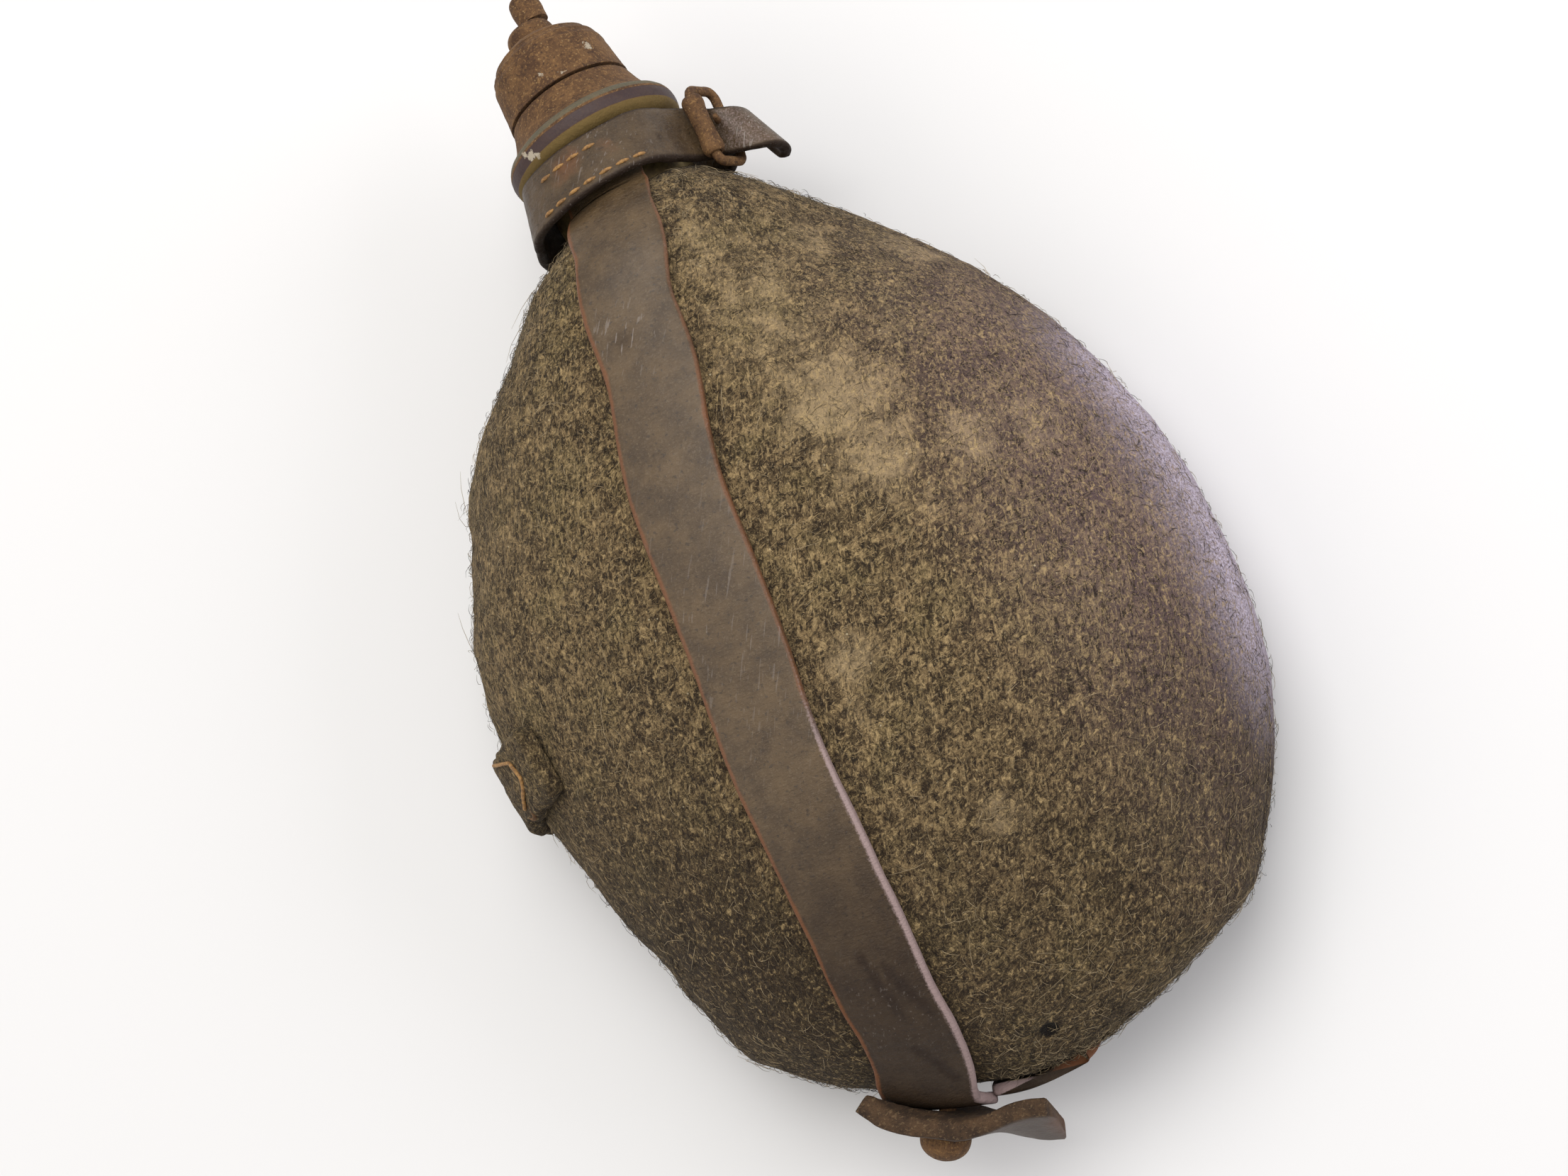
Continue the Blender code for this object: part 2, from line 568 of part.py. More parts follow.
def build_harness(parts, cutters, mats):
    """Front and back straps, the tab across the bottom, the stud and its washer."""
    axis = Vector(STUD_AXIS)
    front = body_strap("front_strap", FRONT_ROUTE, END_LIFT, mats["leather"], parts)
    body_strap("back_strap", BACK_ROUTE, CONTACT, mats["leather"], parts)
    drill(front, STUD_POST + 0.6, STUD_AT, axis, 14.0, cutters)
    steps = 14
    line = curve_through(TAB_ROUTE, np.linspace(0.0, 1.0, steps))
    forward = np.gradient(line, axis=0)
    forward /= np.linalg.norm(forward, axis=1, keepdims=True)
    outward = np.stack([forward[:, 1], -forward[:, 0], np.zeros(steps)], axis=1)
    middle = np.column_stack([line, np.full(steps, TAB_Z)]) - outward * TAB / 2.0
    reach = np.tile((0.0, 0.0, TAB_HALF), (steps, 1))
    face = strap_face(middle, reach, outward, np.full(steps, 400.0), 2)
    face = clear_of_felt(face, np.full(steps, END_LIFT + STRAP + 0.45))
    tab = ribbon("bottom_tab", face, outward, np.full(steps, TAB), mats["rough_leather"], parts)
    drill(tab, STUD_POST + 0.5, STUD_AT, axis, 14.0, cutters)
    dome = [(STUD_HEAD * math.sin(a), STUD_LIFT + 0.8 + STUD_HEIGHT * math.cos(a))
            for a in np.radians(np.linspace(0.0, 90.0, 7))]
    stud = dome + [(STUD_HEAD - 0.3, STUD_LIFT), (STUD_POST, STUD_LIFT), (STUD_POST, 0.4), (0.0, 0.4)]
    turned("stud", stud, mats["rust"], parts, base=STUD_AT, axis=axis, steps=24)
    washer = ((3.0, 1.0), (3.0, 0.5), (STUD_POST + 0.15, 0.5), (STUD_POST + 0.15, 1.0))
    turned("stud_washer", washer, mats["brass"], parts, base=STUD_AT, axis=axis, steps=20)


def build_all():
    """Build every part of the canteen."""
    for obj in list(bpy.data.objects):
        bpy.data.objects.remove(obj, do_unlink=True)
    parts = collection("canteen")
    cutters = collection("cutters")
    mats = {
        "felt": material("grey_brown_felt", (0.16, 0.14, 0.11), 0.95),
        "leather": material("dark_brown_leather", (0.11, 0.08, 0.06), 0.55),
        "rough_leather": material("rough_brown_leather", (0.14, 0.09, 0.05), 0.75),
        "rust": material("rusted_steel", (0.15, 0.09, 0.05), 0.8, 0.4),
        "tin": material("tinned_steel", (0.30, 0.27, 0.22), 0.5, 0.9),
        "brass": material("dull_brass", (0.35, 0.27, 0.12), 0.5, 0.9),
        "rubber": material("black_rubber", (0.03, 0.03, 0.03), 0.8),
    }
    build_flask(parts, mats)
    build_covers(parts, cutters, mats)
    build_cap(parts, cutters, mats)
    build_neck_strap(parts, cutters, mats)
    build_buckle(parts, mats)
    build_harness(parts, cutters, mats)


build_all()
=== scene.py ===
import math

import bpy
import numpy as np
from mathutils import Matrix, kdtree


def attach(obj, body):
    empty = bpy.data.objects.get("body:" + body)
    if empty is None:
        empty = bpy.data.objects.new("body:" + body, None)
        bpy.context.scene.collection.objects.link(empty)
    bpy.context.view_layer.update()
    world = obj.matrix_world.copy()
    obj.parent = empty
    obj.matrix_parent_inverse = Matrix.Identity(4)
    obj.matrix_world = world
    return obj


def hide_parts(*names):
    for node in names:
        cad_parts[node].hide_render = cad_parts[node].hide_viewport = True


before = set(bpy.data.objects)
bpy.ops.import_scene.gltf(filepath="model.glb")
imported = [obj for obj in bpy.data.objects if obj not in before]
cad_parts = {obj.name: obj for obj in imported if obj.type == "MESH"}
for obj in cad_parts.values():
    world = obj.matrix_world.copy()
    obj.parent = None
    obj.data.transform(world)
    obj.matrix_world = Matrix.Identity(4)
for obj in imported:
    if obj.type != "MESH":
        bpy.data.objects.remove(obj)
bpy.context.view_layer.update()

# ---------------------------------------------------------------------------
# Table, light and camera. A plain pale table under a broad overhead light,
# seen from above the buckle side.
def added(name, data):
    """New object holding this data, in the scene."""
    made = bpy.data.objects.new(name, data)
    bpy.context.scene.collection.objects.link(made)
    return made


table_mesh = bpy.data.meshes.new("table")
table_mesh.from_pydata([(-3, -3, 0), (3, -3, 0), (3, 3, 0), (-3, 3, 0)], [], [(0, 1, 2, 3)])
table = added("table", table_mesh)
table_mat = bpy.data.materials.new("pale_table")
table_mat.use_nodes = True
table_shader = table_mat.node_tree.nodes["Principled BSDF"]
for key, value in (("Base Color", (0.74, 0.735, 0.735, 1.0)), ("Roughness", 0.8),
                   ("Specular IOR Level", 0.1)):
    table_shader.inputs[key].default_value = value
table_mesh.materials.append(table_mat)

for lamp_name, place, aim, size, watts, tint in (
        ("overhead", (0.25, 0.45, 1.25), (0.0, 0.0, 0.0), 1.0, 12.5, (1.0, 0.99, 0.97)),
        ("window_side", (1.3, -0.25, 0.75), (0.0, 0.0, 0.03), 0.7, 8.0, (0.93, 0.93, 1.0)),
        ("far_side", (-1.0, 0.2, 1.1), (0.0, 0.0, 0.03), 1.2, 4.5, (1.0, 0.95, 0.90))):
    lamp = bpy.data.lights.new(lamp_name, "AREA")
    lamp.size = size
    lamp.energy = watts
    lamp.color = tint
    lamp_object = added(lamp_name, lamp)
    toward = np.array(aim) - np.array(place)
    lamp_object.location = place
    lamp_object.rotation_euler = (math.acos(-toward[2] / np.linalg.norm(toward)), 0.0,
                                  math.atan2(toward[1], toward[0]) - math.pi / 2.0)

room = bpy.data.worlds.new("room")
bpy.context.scene.world = room
room.use_nodes = True
room.node_tree.nodes["Background"].inputs["Color"].default_value = (1.0, 0.99, 0.98, 1.0)
room.node_tree.nodes["Background"].inputs["Strength"].default_value = 0.58
bpy.context.scene.view_settings.view_transform = "Standard"

camera_data = bpy.data.cameras.new("camera")
camera_data.sensor_width = 36.0
camera_data.lens = 62.15
camera_data.clip_start = 0.01
camera = added("camera", camera_data)
camera.location = (0.1105, -0.1368, 0.5688)
camera.rotation_euler = tuple(math.radians(a) for a in (5.1106, 17.0407, -31.3033))
bpy.context.scene.camera = camera

# ---------------------------------------------------------------------------
# Felt cover. Two halves of thick grey-brown wool felt, wet-shaped over the
# flask and sewn edge to edge along its sides; worn pale on the high parts.
MM = 0.001
OUTLINE = np.array([
    # y, middle x, half width, middle z, half depth, in millimetres
    (74.4, 11.2, 18.4, 38.0, 18.4), (72.0, 9.8, 21.7, 38.0, 20.7), (69.0, 7.9, 26.6, 37.8, 23.0),
    (61.0, 5.5, 36.0, 37.2, 27.2), (47.0, -0.3, 52.8, 37.0, 30.2), (29.0, -0.2, 64.3, 37.4, 32.6),
    (9.0, -0.6, 73.1, 38.0, 34.0), (-12.0, 1.0, 76.2, 38.4, 34.6), (-34.0, 2.3, 76.0, 38.2, 34.4),
    (-56.0, 2.9, 72.9, 37.6, 33.4), (-76.0, 2.0, 67.7, 36.4, 31.0), (-90.0, 0.2, 61.0, 35.0, 27.6),
    (-101.0, 1.2, 51.4, 33.6, 23.4), (-109.6, 5.0, 40.8, 32.4, 18.6),
    (-115.6, 5.2, 27.4, 31.6, 13.2), (-119.4, 1.0, 12.6, 31.0, 6.8), (-120.6, 0.0, 0.0, 31.0, 0.0)])
KIDNEY = 15.0
FELT = 2.6
POLE = 0.9995  # as far along as the felt has a normal
SEAM_HEIGHT = 28.0
SEAM_SLOPE = 0.10


def curve_through(rows, where):
    """Rows at chord-length places 0..1, joined by cubics whose slopes are finite differences."""
    rows = np.asarray(rows, float)
    knots = np.concatenate([[0.0], np.cumsum(np.linalg.norm(np.diff(rows, axis=0), axis=1))])
    knots /= knots[-1]
    slopes = np.gradient(rows, knots, axis=0)
    at = np.clip(np.asarray(where, float), 0.0, 1.0)
    left = np.clip(np.searchsorted(knots, at, side="right") - 1, 0, len(knots) - 2)
    width = (knots[left + 1] - knots[left])[..., None]
    u = (at - knots[left])[..., None] / width
    return ((2 * u**3 - 3 * u**2 + 1) * rows[left] + (u**3 - 2 * u**2 + u) * width * slopes[left]
            + (3 * u**2 - 2 * u**3) * rows[left + 1] + (u**3 - u**2) * width * slopes[left + 1])


def felt_point(along, around):
    """Felt's outer face: a superellipse per station of the outline, its sides swept back by the
    square of the sideways share. along runs 0..1 from neck to bottom; around turns from +X over +Z."""
    y, mid_x, half_w, mid_z, half_d = np.moveaxis(curve_through(OUTLINE, along), -1, 0)
    full = np.clip((half_w - 21.0) / 40.0, 0.0, 1.0)
    full = full * full * (3.0 - 2.0 * full)
    side, up = np.cos(around * 2.0 * math.pi), np.sin(around * 2.0 * math.pi)
    power = np.where(up > 0.0, 2.0 + 0.3 * full, 2.0 + 1.6 * full)
    rise = np.clip(1.0 - np.abs(side) ** power, 0.0, 1.0) ** (1.0 / power)
    z = mid_z + np.sign(up) * half_d * rise - KIDNEY * full * side**2
    return np.stack([mid_x + half_w * side, y + 0.0 * side, z], axis=-1)


def unit(vectors):
    """Vectors divided by their lengths."""
    return vectors / np.maximum(np.linalg.norm(vectors, axis=-1, keepdims=True), 1e-9)


def rings(count, side, other):
    """Directions once round, in the plane of two unit vectors or of each pair of them."""
    turn = np.arange(count) / count * 2.0 * math.pi
    return np.cos(turn)[:, None] * side[..., None, :] + np.sin(turn)[:, None] * other[..., None, :]


def felt_normal(along, around, step=0.004):
    """Outward unit normal: the cross product of central differences around and along."""
    turn = felt_point(along, around + step) - felt_point(along, around - step)
    run = (felt_point(np.minimum(along + step, POLE), around)
           - felt_point(np.maximum(along - step, 0.0), around))
    return unit(np.cross(turn, run))


def felt_at(along, around, outward):
    """Point a distance outward of the felt's outer face."""
    along = np.minimum(along, POLE)
    return felt_point(along, around) + np.asarray(outward)[..., None] * felt_normal(along, around)


def grain(points, size, seed):
    """Smooth noise in -1..1: hashed values at the corners of a lattice of this size, eased between."""
    place = points / size + seed * 17.31
    cell = np.floor(place).astype(np.int64)
    part = place - cell
    ease = part * part * (3.0 - 2.0 * part)
    total = np.zeros(points.shape[:-1])
    for corner in np.ndindex(2, 2, 2):
        key = np.sum((cell + corner) * np.array([73856093, 19349663, 83492791]), axis=-1)
        key = (key ^ (key >> 13)) * 1274126177 % 2147483647
        key = (key ^ (key >> 11)) * 668265263 % 2147483647
        share = np.prod(np.where(corner, ease, 1.0 - ease), axis=-1)
        total += share * (key / 1073741823.0 - 1.0)
    return total


def ramp(value, start, end):
    """0 before start, 1 past end, eased between; start may be above end."""
    u = np.clip((np.asarray(value, float) - start) / (end - start), 0.0, 1.0)
    return u * u * (3.0 - 2.0 * u)


def patches(points, spots):
    """Largest of a set of soft round spots, each (x, y, z, radius, strength), in millimetres."""
    best = np.zeros(points.shape[:-1])
    for x, y, z, radius, strength in spots:
        away = np.linalg.norm(points - (x, y, z), axis=-1) / radius
        best = np.maximum(best, strength * np.exp(-away**2))
    return best


def placed(piece, body, node):
    """Let a piece ride on a body in place of a CAD node."""
    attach(piece, body)
    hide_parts(node)


def grid_piece(name, points, material, wrap=False, ends="open", merge=False, attributes=None):
    """Piece from a grid of points in millimetres, rows by columns, joined by quads. wrap joins the
    last column to the first, ends "fan" closes the end rows at their middles, merge welds meeting
    points, and a closed piece is turned so that its volume is positive."""
    rows, columns = points.shape[:2]
    index = np.arange(rows * columns).reshape(rows, columns)
    left = index if wrap else index[:, :-1]
    right = np.roll(index, -1, axis=1) if wrap else index[:, 1:]
    faces = np.stack([left[:-1], right[:-1], right[1:], left[1:]], axis=-1).reshape(-1, 4).tolist()
    verts = points.reshape(-1, 3)
    values = {key: np.asarray(value, float).reshape(-1) for key, value in (attributes or {}).items()}
    if ends == "fan":
        for row, turn in ((0, 1), (rows - 1, -1)):
            rim, centre = index[row], len(verts)
            verts = np.concatenate([verts, points[row].mean(axis=0)[None]])
            values = {key: np.append(v, v[rim].mean()) for key, v in values.items()}
            pairs = np.stack([rim, np.roll(rim, -1), np.full(columns, centre)], axis=1)
            faces += pairs[:, ::-turn].tolist()
    if wrap:
        corner = np.array([face[:3] for face in faces] + [[f[0], f[2], f[3]] for f in faces if len(f) > 3])
        a, b, c = (verts[corner[:, k]] for k in range(3))
        if np.sum(a * np.cross(b, c)) < 0.0:
            faces = [face[::-1] for face in faces]
    mesh = bpy.data.meshes.new(name)
    mesh.from_pydata(verts * MM, [], faces)
    for key, value in values.items():
        mesh.attributes.new(key, "FLOAT", "POINT").data.foreach_set("value", value)
    mesh.materials.append(material)
    mesh.shade_smooth()
    piece = added(name, mesh)
    if merge:
        weld = piece.modifiers.new("weld", "WELD")
        weld.merge_threshold = 0.00002
    return piece


class Shade:
    """A shader socket with arithmetic: each operation on it adds one Math node."""

    def __init__(self, tree, socket=None):
        self.tree = tree
        self.socket = socket

    def node(self, kind, settings=None, values=None, out=0):
        """Add a node, set its settings, then the values or links of its sockets, and give one output."""
        made = self.tree.nodes.new("ShaderNode" + kind)
        for name, value in (settings or {}).items():
            setattr(made, name, value)
        for name, value in (values or {}).items():
            if isinstance(value, Shade):
                self.tree.links.new(value.socket, made.inputs[name])
            else:
                made.inputs[name].default_value = value
        return Shade(self.tree, made.outputs[out])

    def maths(self, operation, first, second):
        """One Math node on two values or sockets."""
        return self.node("Math", {"operation": operation}, {0: first, 1: second})

    def __add__(self, other):
        return self.maths("ADD", self, other)

    def __radd__(self, other):
        return self.maths("ADD", other, self)

    def __sub__(self, other):
        return self.maths("SUBTRACT", self, other)

    def __rsub__(self, other):
        return self.maths("SUBTRACT", other, self)

    def __mul__(self, other):
        return self.maths("MULTIPLY", self, other)

    def __rmul__(self, other):
        return self.maths("MULTIPLY", other, self)

    def most(self, other):
        """The larger of two values."""
        return self.maths("MAXIMUM", self, other)

    def ease(self, start, end):
        """0 before start, 1 past end, eased between."""
        return self.node("MapRange", {"interpolation_type": "SMOOTHSTEP"}, {0: self, 1: start, 2: end})

    def blend(self, first, second):
        """Colour from first to second as this value goes from 0 to 1."""
        pair = {6: first, 7: second}
        pair = {key: value if isinstance(value, Shade) else (*value, 1.0) for key, value in pair.items()}
        return self.node("Mix", {"data_type": "RGBA"}, {0: self, **pair}, out=2)

    def place(self, stretch=(1.0, 1.0, 1.0), turn=(0.0, 0.0, 0.0)):
        """Object coordinates in metres, turned in degrees and then stretched."""
        coords = self.node("TexCoord", out=3)
        turned = self.node("Mapping", {"vector_type": "POINT"},
                           {0: coords, 2: tuple(math.radians(a) for a in turn)})
        return self.node("Mapping", {"vector_type": "POINT"}, {0: turned, 3: stretch})

    def cloud(self, size, detail=2.0, rough=0.5, stretch=(1.0, 1.0, 1.0), turn=(0.0, 0.0, 0.0), warp=0.0):
        """Noise 0..1 with features of this size in millimetres."""
        return self.node("TexNoise", None, {"Vector": self.place(stretch, turn), "Scale": 1000.0 / size,
                                            "Detail": detail, "Roughness": rough, "Distortion": warp})

    def cells(self, size):
        """Distance to the nearest of scattered points this far apart, in millimetres."""
        return self.node("TexVoronoi", None, {"Vector": self.place(), "Scale": 1000.0 / size})

    def mark(self, name):
        """A value painted on the piece's points."""
        return self.node("Attribute", {"attribute_name": name}, out=2)

    def bump(self, height, depth, under=None):
        """Normal from a height of this depth in millimetres, over another normal."""
        values = {"Height": height, "Distance": depth * MM, "Strength": 1.0}
        if under is not None:
            values["Normal"] = under
        return self.node("Bump", None, values)


def finish_of(name, paint, **fixed):
    """Material with a Principled shader: fixed numbers go on its sockets, paint(shade) gives the links."""
    material = bpy.data.materials.new(name)
    material.use_nodes = True
    shader = material.node_tree.nodes["Principled BSDF"]
    for key, value in fixed.items():
        shader.inputs[key.replace("_", " ")].default_value = value
    for key, value in paint(Shade(material.node_tree)).items():
        material.node_tree.links.new(value.socket, shader.inputs[key])
    return material


def paint_felt(shade):
    """Matted wool: olive-brown ground, charcoal and tan fibre streaks in three directions, a
    little paler where it is worn, darker and browner with painted shade low down and on its left."""
    mottle = shade.cloud(5.0, 6.0, 0.72)
    broad = shade.cloud(14.0, 3.0, 0.6)
    clump = shade.cloud(0.95, 3.0, 0.72, (1.0, 0.7, 1.0), (0, 0, 30), 0.8)
    speck = shade.cloud(0.5, 2.0, 0.6)
    worn = shade.mark("worn")
    dark = shade.mark("dark")
    cool = shade.mark("cool")
    ground = mottle.ease(0.38, 0.64).blend((0.066, 0.045, 0.024), (0.205, 0.140, 0.068))
    ground = (broad.ease(0.45, 0.65) * 0.35).blend(ground, (0.155, 0.120, 0.050))
    ground = (clump.ease(0.47, 0.62) * 0.90).blend(ground, (0.022, 0.014, 0.008))
    patch = (worn * 0.85 + mottle * 1.3 + clump * 0.6 - 1.18).ease(0.05, 0.66)
    ground = (patch * 0.58).blend(ground, (0.420, 0.310, 0.175))
    # painted light: a cool lilac tint of the window light over the right side of the felt
    ground = (cool * 0.55).blend(ground, (0.150, 0.098, 0.108))
    streaks = []
    for turn, seed in (((0, 0, 24), 1.0), ((0, 0, 81), 1.13), ((15, 20, 140), 0.91)):
        streaks.append(shade.cloud(0.52 * seed, 1.0, 0.5, (1.0, 0.22, 1.0), turn, 0.9))
    pale = streaks[0].ease(0.59, 0.71).most(streaks[1].ease(0.61, 0.73)).most(streaks[2].ease(0.63, 0.74))
    black = (1.0 - streaks[0]).ease(0.59, 0.69).most((1.0 - streaks[1]).ease(0.60, 0.70))
    ground = (black * (0.85 - patch * 0.35)).blend(ground, (0.018, 0.013, 0.009))
    ground = (pale * (0.50 + patch * 0.25)).blend(ground, (0.400, 0.285, 0.140))
    ground = (speck.ease(0.62, 0.72) * 0.5).blend(ground, (0.340, 0.260, 0.155))
    fleck = shade.cells(2.6).ease(0.10, 0.05) * shade.cloud(5.0, 0.0).ease(0.52, 0.6)
    ground = (fleck * 0.7).blend(ground, (0.50, 0.42, 0.27))
    # painted shade: near-black brown towards the table, the bottom end and the left
    ground = (dark * 0.76).blend(ground, (0.018, 0.011, 0.007))
    ground = ((1.0 - clump).ease(0.54, 0.68) * (0.62 + patch * 0.2)).blend(ground, (0.420, 0.300, 0.145))
    # painted highlight: speckled pale lilac light on the lower right edge of the felt
    ground = (shade.mark("rim") * (speck * 2.6 + clump * 1.6 - 1.45)).blend(ground, (0.560, 0.490, 0.600))
    # painted shade: the dark inside of the moth hole, a near-black spot over a small dent
    ground = shade.mark("hole").ease(0.35, 0.6).blend(ground, (0.006, 0.004, 0.003))
    lie = shade.bump(streaks[0] + streaks[1] + streaks[2], 0.30)
    return {"Base Color": ground, "Normal": shade.bump(clump + speck * 0.4, 0.5, lie)}


felt_finish = finish_of("worn_wool_felt", paint_felt, Roughness=0.96, Specular_IOR_Level=0.15,
                        Sheen_Weight=0.05, Sheen_Roughness=0.5, Sheen_Tint=(0.9, 0.85, 0.75, 1.0))

# Soft spots, each x, y, z, radius and strength.
WORN = ((30.4, 25.4, 63.7, 17.0, 0.60), (31.6, 9.8, 65.6, 15.0, 0.88), (33.1, -4.8, 66.6, 13.0, 0.80),
        (38.0, -17.8, 65.5, 9.0, 0.45), (48.9, -10.8, 59.2, 9.0, 0.9), (60.0, -13.5, 51.0, 9.0, 0.8),
        (56.3, 34.0, 36.5, 10.0, 0.7), (8.6, -36.9, 72.0, 7.0, 0.8), (4.8, -45.6, 71.9, 6.0, 0.6),
        (17.9, -77.2, 66.0, 9.0, 0.65), (51.0, -41.8, 59.2, 12.0, 0.45), (40.5, 46.8, 50.7, 14.0, 0.45),
        (59.7, 10.1, 45.5, 14.0, 0.3), (42.6, -68.8, 60.7, 12.0, 0.35), (24.5, 51.8, 61.0, 14.0, 0.55),
        (68.2, -24.4, 43.4, 14.0, 0.4), (6.0, -98.3, 58.3, 9.0, 0.35), (-38.1, 33.5, 57.6, 20.0, 0.28),
        (15.2, -52.1, 70.6, 12.0, 0.3), (28.0, 38.0, 62.0, 18.0, 0.52))
# A moth hole, a small dent with its dark inside painted as shade: x, y, z, radius and strength.
MOTH_HOLE = (-0.6, -114.4, 44.9, 2.4, 1.0)


def felt_marks(points):
    """Wear, painted shade, a painted cool window tint, a painted lilac highlight and the painted dark of
    the moth hole on felt points, from soft spots and the height.
    """
    x, y, z = points[..., 0], points[..., 1], points[..., 2]
    soft = grain(points, 14.0, 3) * 0.5 + grain(points, 6.0, 5) * 0.5
    worn = patches(points, WORN) + 0.14 * soft + 0.10 * ramp(y, -60.0, 40.0)
    # painted shade, darker towards the table, the bottom end and the lower left
    low = ramp(z, 46.0, 8.0)
    dark = 0.95 * ramp(x, 5.0, -62.0) * ramp(y, 10.0, -75.0) + 0.45 * low + 0.55 * ramp(y, -35.0, -100.0)
    # painted light: the window's cool tint, towards +X and away from the neck
    cool = ramp(x, 22.0, 74.0) * ramp(y, 70.0, 0.0)
    # painted highlight on the felt's lower right edge
    rim = ramp(x, 58.0, 78.0) * ramp(y, 20.0, -10.0) * ramp(z, 50.0, 26.0)
    return {"worn": np.clip(worn, 0, 1), "dark": np.clip(dark + 0.12 * soft, 0, 1),
            "cool": np.clip(cool + 0.2 * soft * cool, 0, 1), "rim": np.clip(rim, 0, 1),
            "hole": patches(points, (MOTH_HOLE,))}


def seam_turns(along, side):
    """Where the seam plane meets each ring of the felt, by reading the ring's heights; side 1 is +X.
    A ring wholly above the plane gives the back of the ring, so the half closes on itself there."""
    turns = np.linspace(0.0, 0.25, 600)[None, :]
    around = -turns if side > 0 else 0.5 + turns
    ring = felt_point(along[:, None] + 0.0 * turns, around + 0.0 * along[:, None])
    under = ring[..., 2] < SEAM_HEIGHT + SEAM_SLOPE * ring[..., 1]
    first = np.where(under.any(axis=1), under.argmax(axis=1), 599)
    step = turns[0, first]
    up_ring = felt_point(along, np.full_like(along, 0.0 if side > 0 else 0.5))
    above = up_ring[:, 2] > SEAM_HEIGHT + SEAM_SLOPE * up_ring[:, 1]
    turns_up = np.linspace(0.0, 0.2, 500)[None, :]
    around_up = turns_up if side > 0 else 0.5 - turns_up
    ring_up = felt_point(along[:, None] + 0.0 * turns_up, around_up + 0.0 * along[:, None])
    over = ring_up[..., 2] > SEAM_HEIGHT + SEAM_SLOPE * ring_up[..., 1]
    step_up = -turns_up[0, over.argmax(axis=1)]
    step = np.where(above, step, step_up)
    return -step if side > 0 else 0.5 + step


def felt_lumps(points, to_seam):
    """Height of the felt over its smooth form: slow dents, fine clumps and the sewn edge drawn in."""
    slow = 0.45 * grain(points, 19.0, 1) + 0.22 * grain(points, 7.0, 2)
    fine = 0.13 * grain(points, 2.1, 4) + 0.08 * grain(points, 1.2, 6)
    left = ramp(points[..., 0], 30.0, -30.0)
    pinch = np.exp(-(to_seam / 1.6) ** 2) * (0.15 + left * (0.8 + 0.6 * grain(points, 5.0, 8)))
    wave = left * 1.9 * grain(points, 8.0, 41) * np.exp(-(to_seam / 7.0) ** 2)
    return slow * ramp(to_seam, 0.0, 8.0) + fine - pinch + wave - 1.0 * patches(points, (MOTH_HOLE,))


def felt_half(name, side, rows, columns):
    """One half: a grid from seam to seam, closed over the bottom on the strap side."""
    even = np.linspace(0.0, 1.0, rows)
    along = even + 0.10 * np.sin(math.pi * even) * even
    right, left = seam_turns(along, 1), seam_turns(along, -1)
    share = np.linspace(0.0, 1.0, columns)
    if side > 0:
        around = right[:, None] + (left - right)[:, None] * share
    else:
        around = left[:, None] + (1.0 + right - left)[:, None] * share
        keep = (1.0 + right - left) > 0.01
        around, along = around[keep], along[keep]
    along = along[:, None] + 0.0 * share
    base, normal = felt_point(along, around), felt_normal(np.minimum(along, POLE), around)
    gap = np.abs(base[..., 2] - SEAM_HEIGHT - SEAM_SLOPE * base[..., 1])
    under_strap = pressing(base)
    rise = felt_lumps(base, gap) * (1.0 - under_strap) - 0.25 * under_strap
    base = base + normal * rise[..., None]
    base[..., 2] += side * 0.15 * np.exp(-(gap / 2.0) ** 2)
    base[..., 2] = np.maximum(base[..., 2], 0.02)
    cover = grid_piece(name, base, felt_finish, merge=True, attributes=felt_marks(base))
    wall = cover.modifiers.new("wall", "SOLIDIFY")
    wall.thickness = FELT * MM
    wall.offset = -1.0
    return cover


# ---------------------------------------------------------------------------
# Body straps. One long strap of smooth brown leather goes down the front, and another down the
# back; both are sewn under the neck strap and drawn tight, so that they press into the felt.
NECK = np.array([11.2, 0.0, 38.0])
NECK_RADIUS = 15.8
STRAP_HALF = 9.3
STRAP = 2.4
SKIVED = 1.5
CONTACT = 0.4  # a strap lies this far off the smooth felt
END_LIFT = 1.85  # and the front strap this far at its lower end
FRONT_ROUTE = ((0.004, 0.249), (0.022, 0.242), (0.052, 0.234), (0.126, 0.2325), (0.194, 0.2345),
               (0.300, 0.2525), (0.396, 0.2645), (0.460, 0.273), (0.543, 0.286), (0.632, 0.295),
               (0.722, 0.308), (0.772, 0.329), (0.807, 0.364), (0.829, 0.405), (0.846, 0.447),
               (0.859, 0.487), (0.864, 0.515))
BACK_ROUTE = ((0.004, 0.750), (0.06, 0.756), (0.14, 0.760), (0.25, 0.760), (0.40, 0.757),
              (0.55, 0.751), (0.68, 0.742), (0.78, 0.728), (0.86, 0.700), (0.915, 0.650),
              (0.945, 0.580), (0.955, 0.530), (0.957, 0.500))


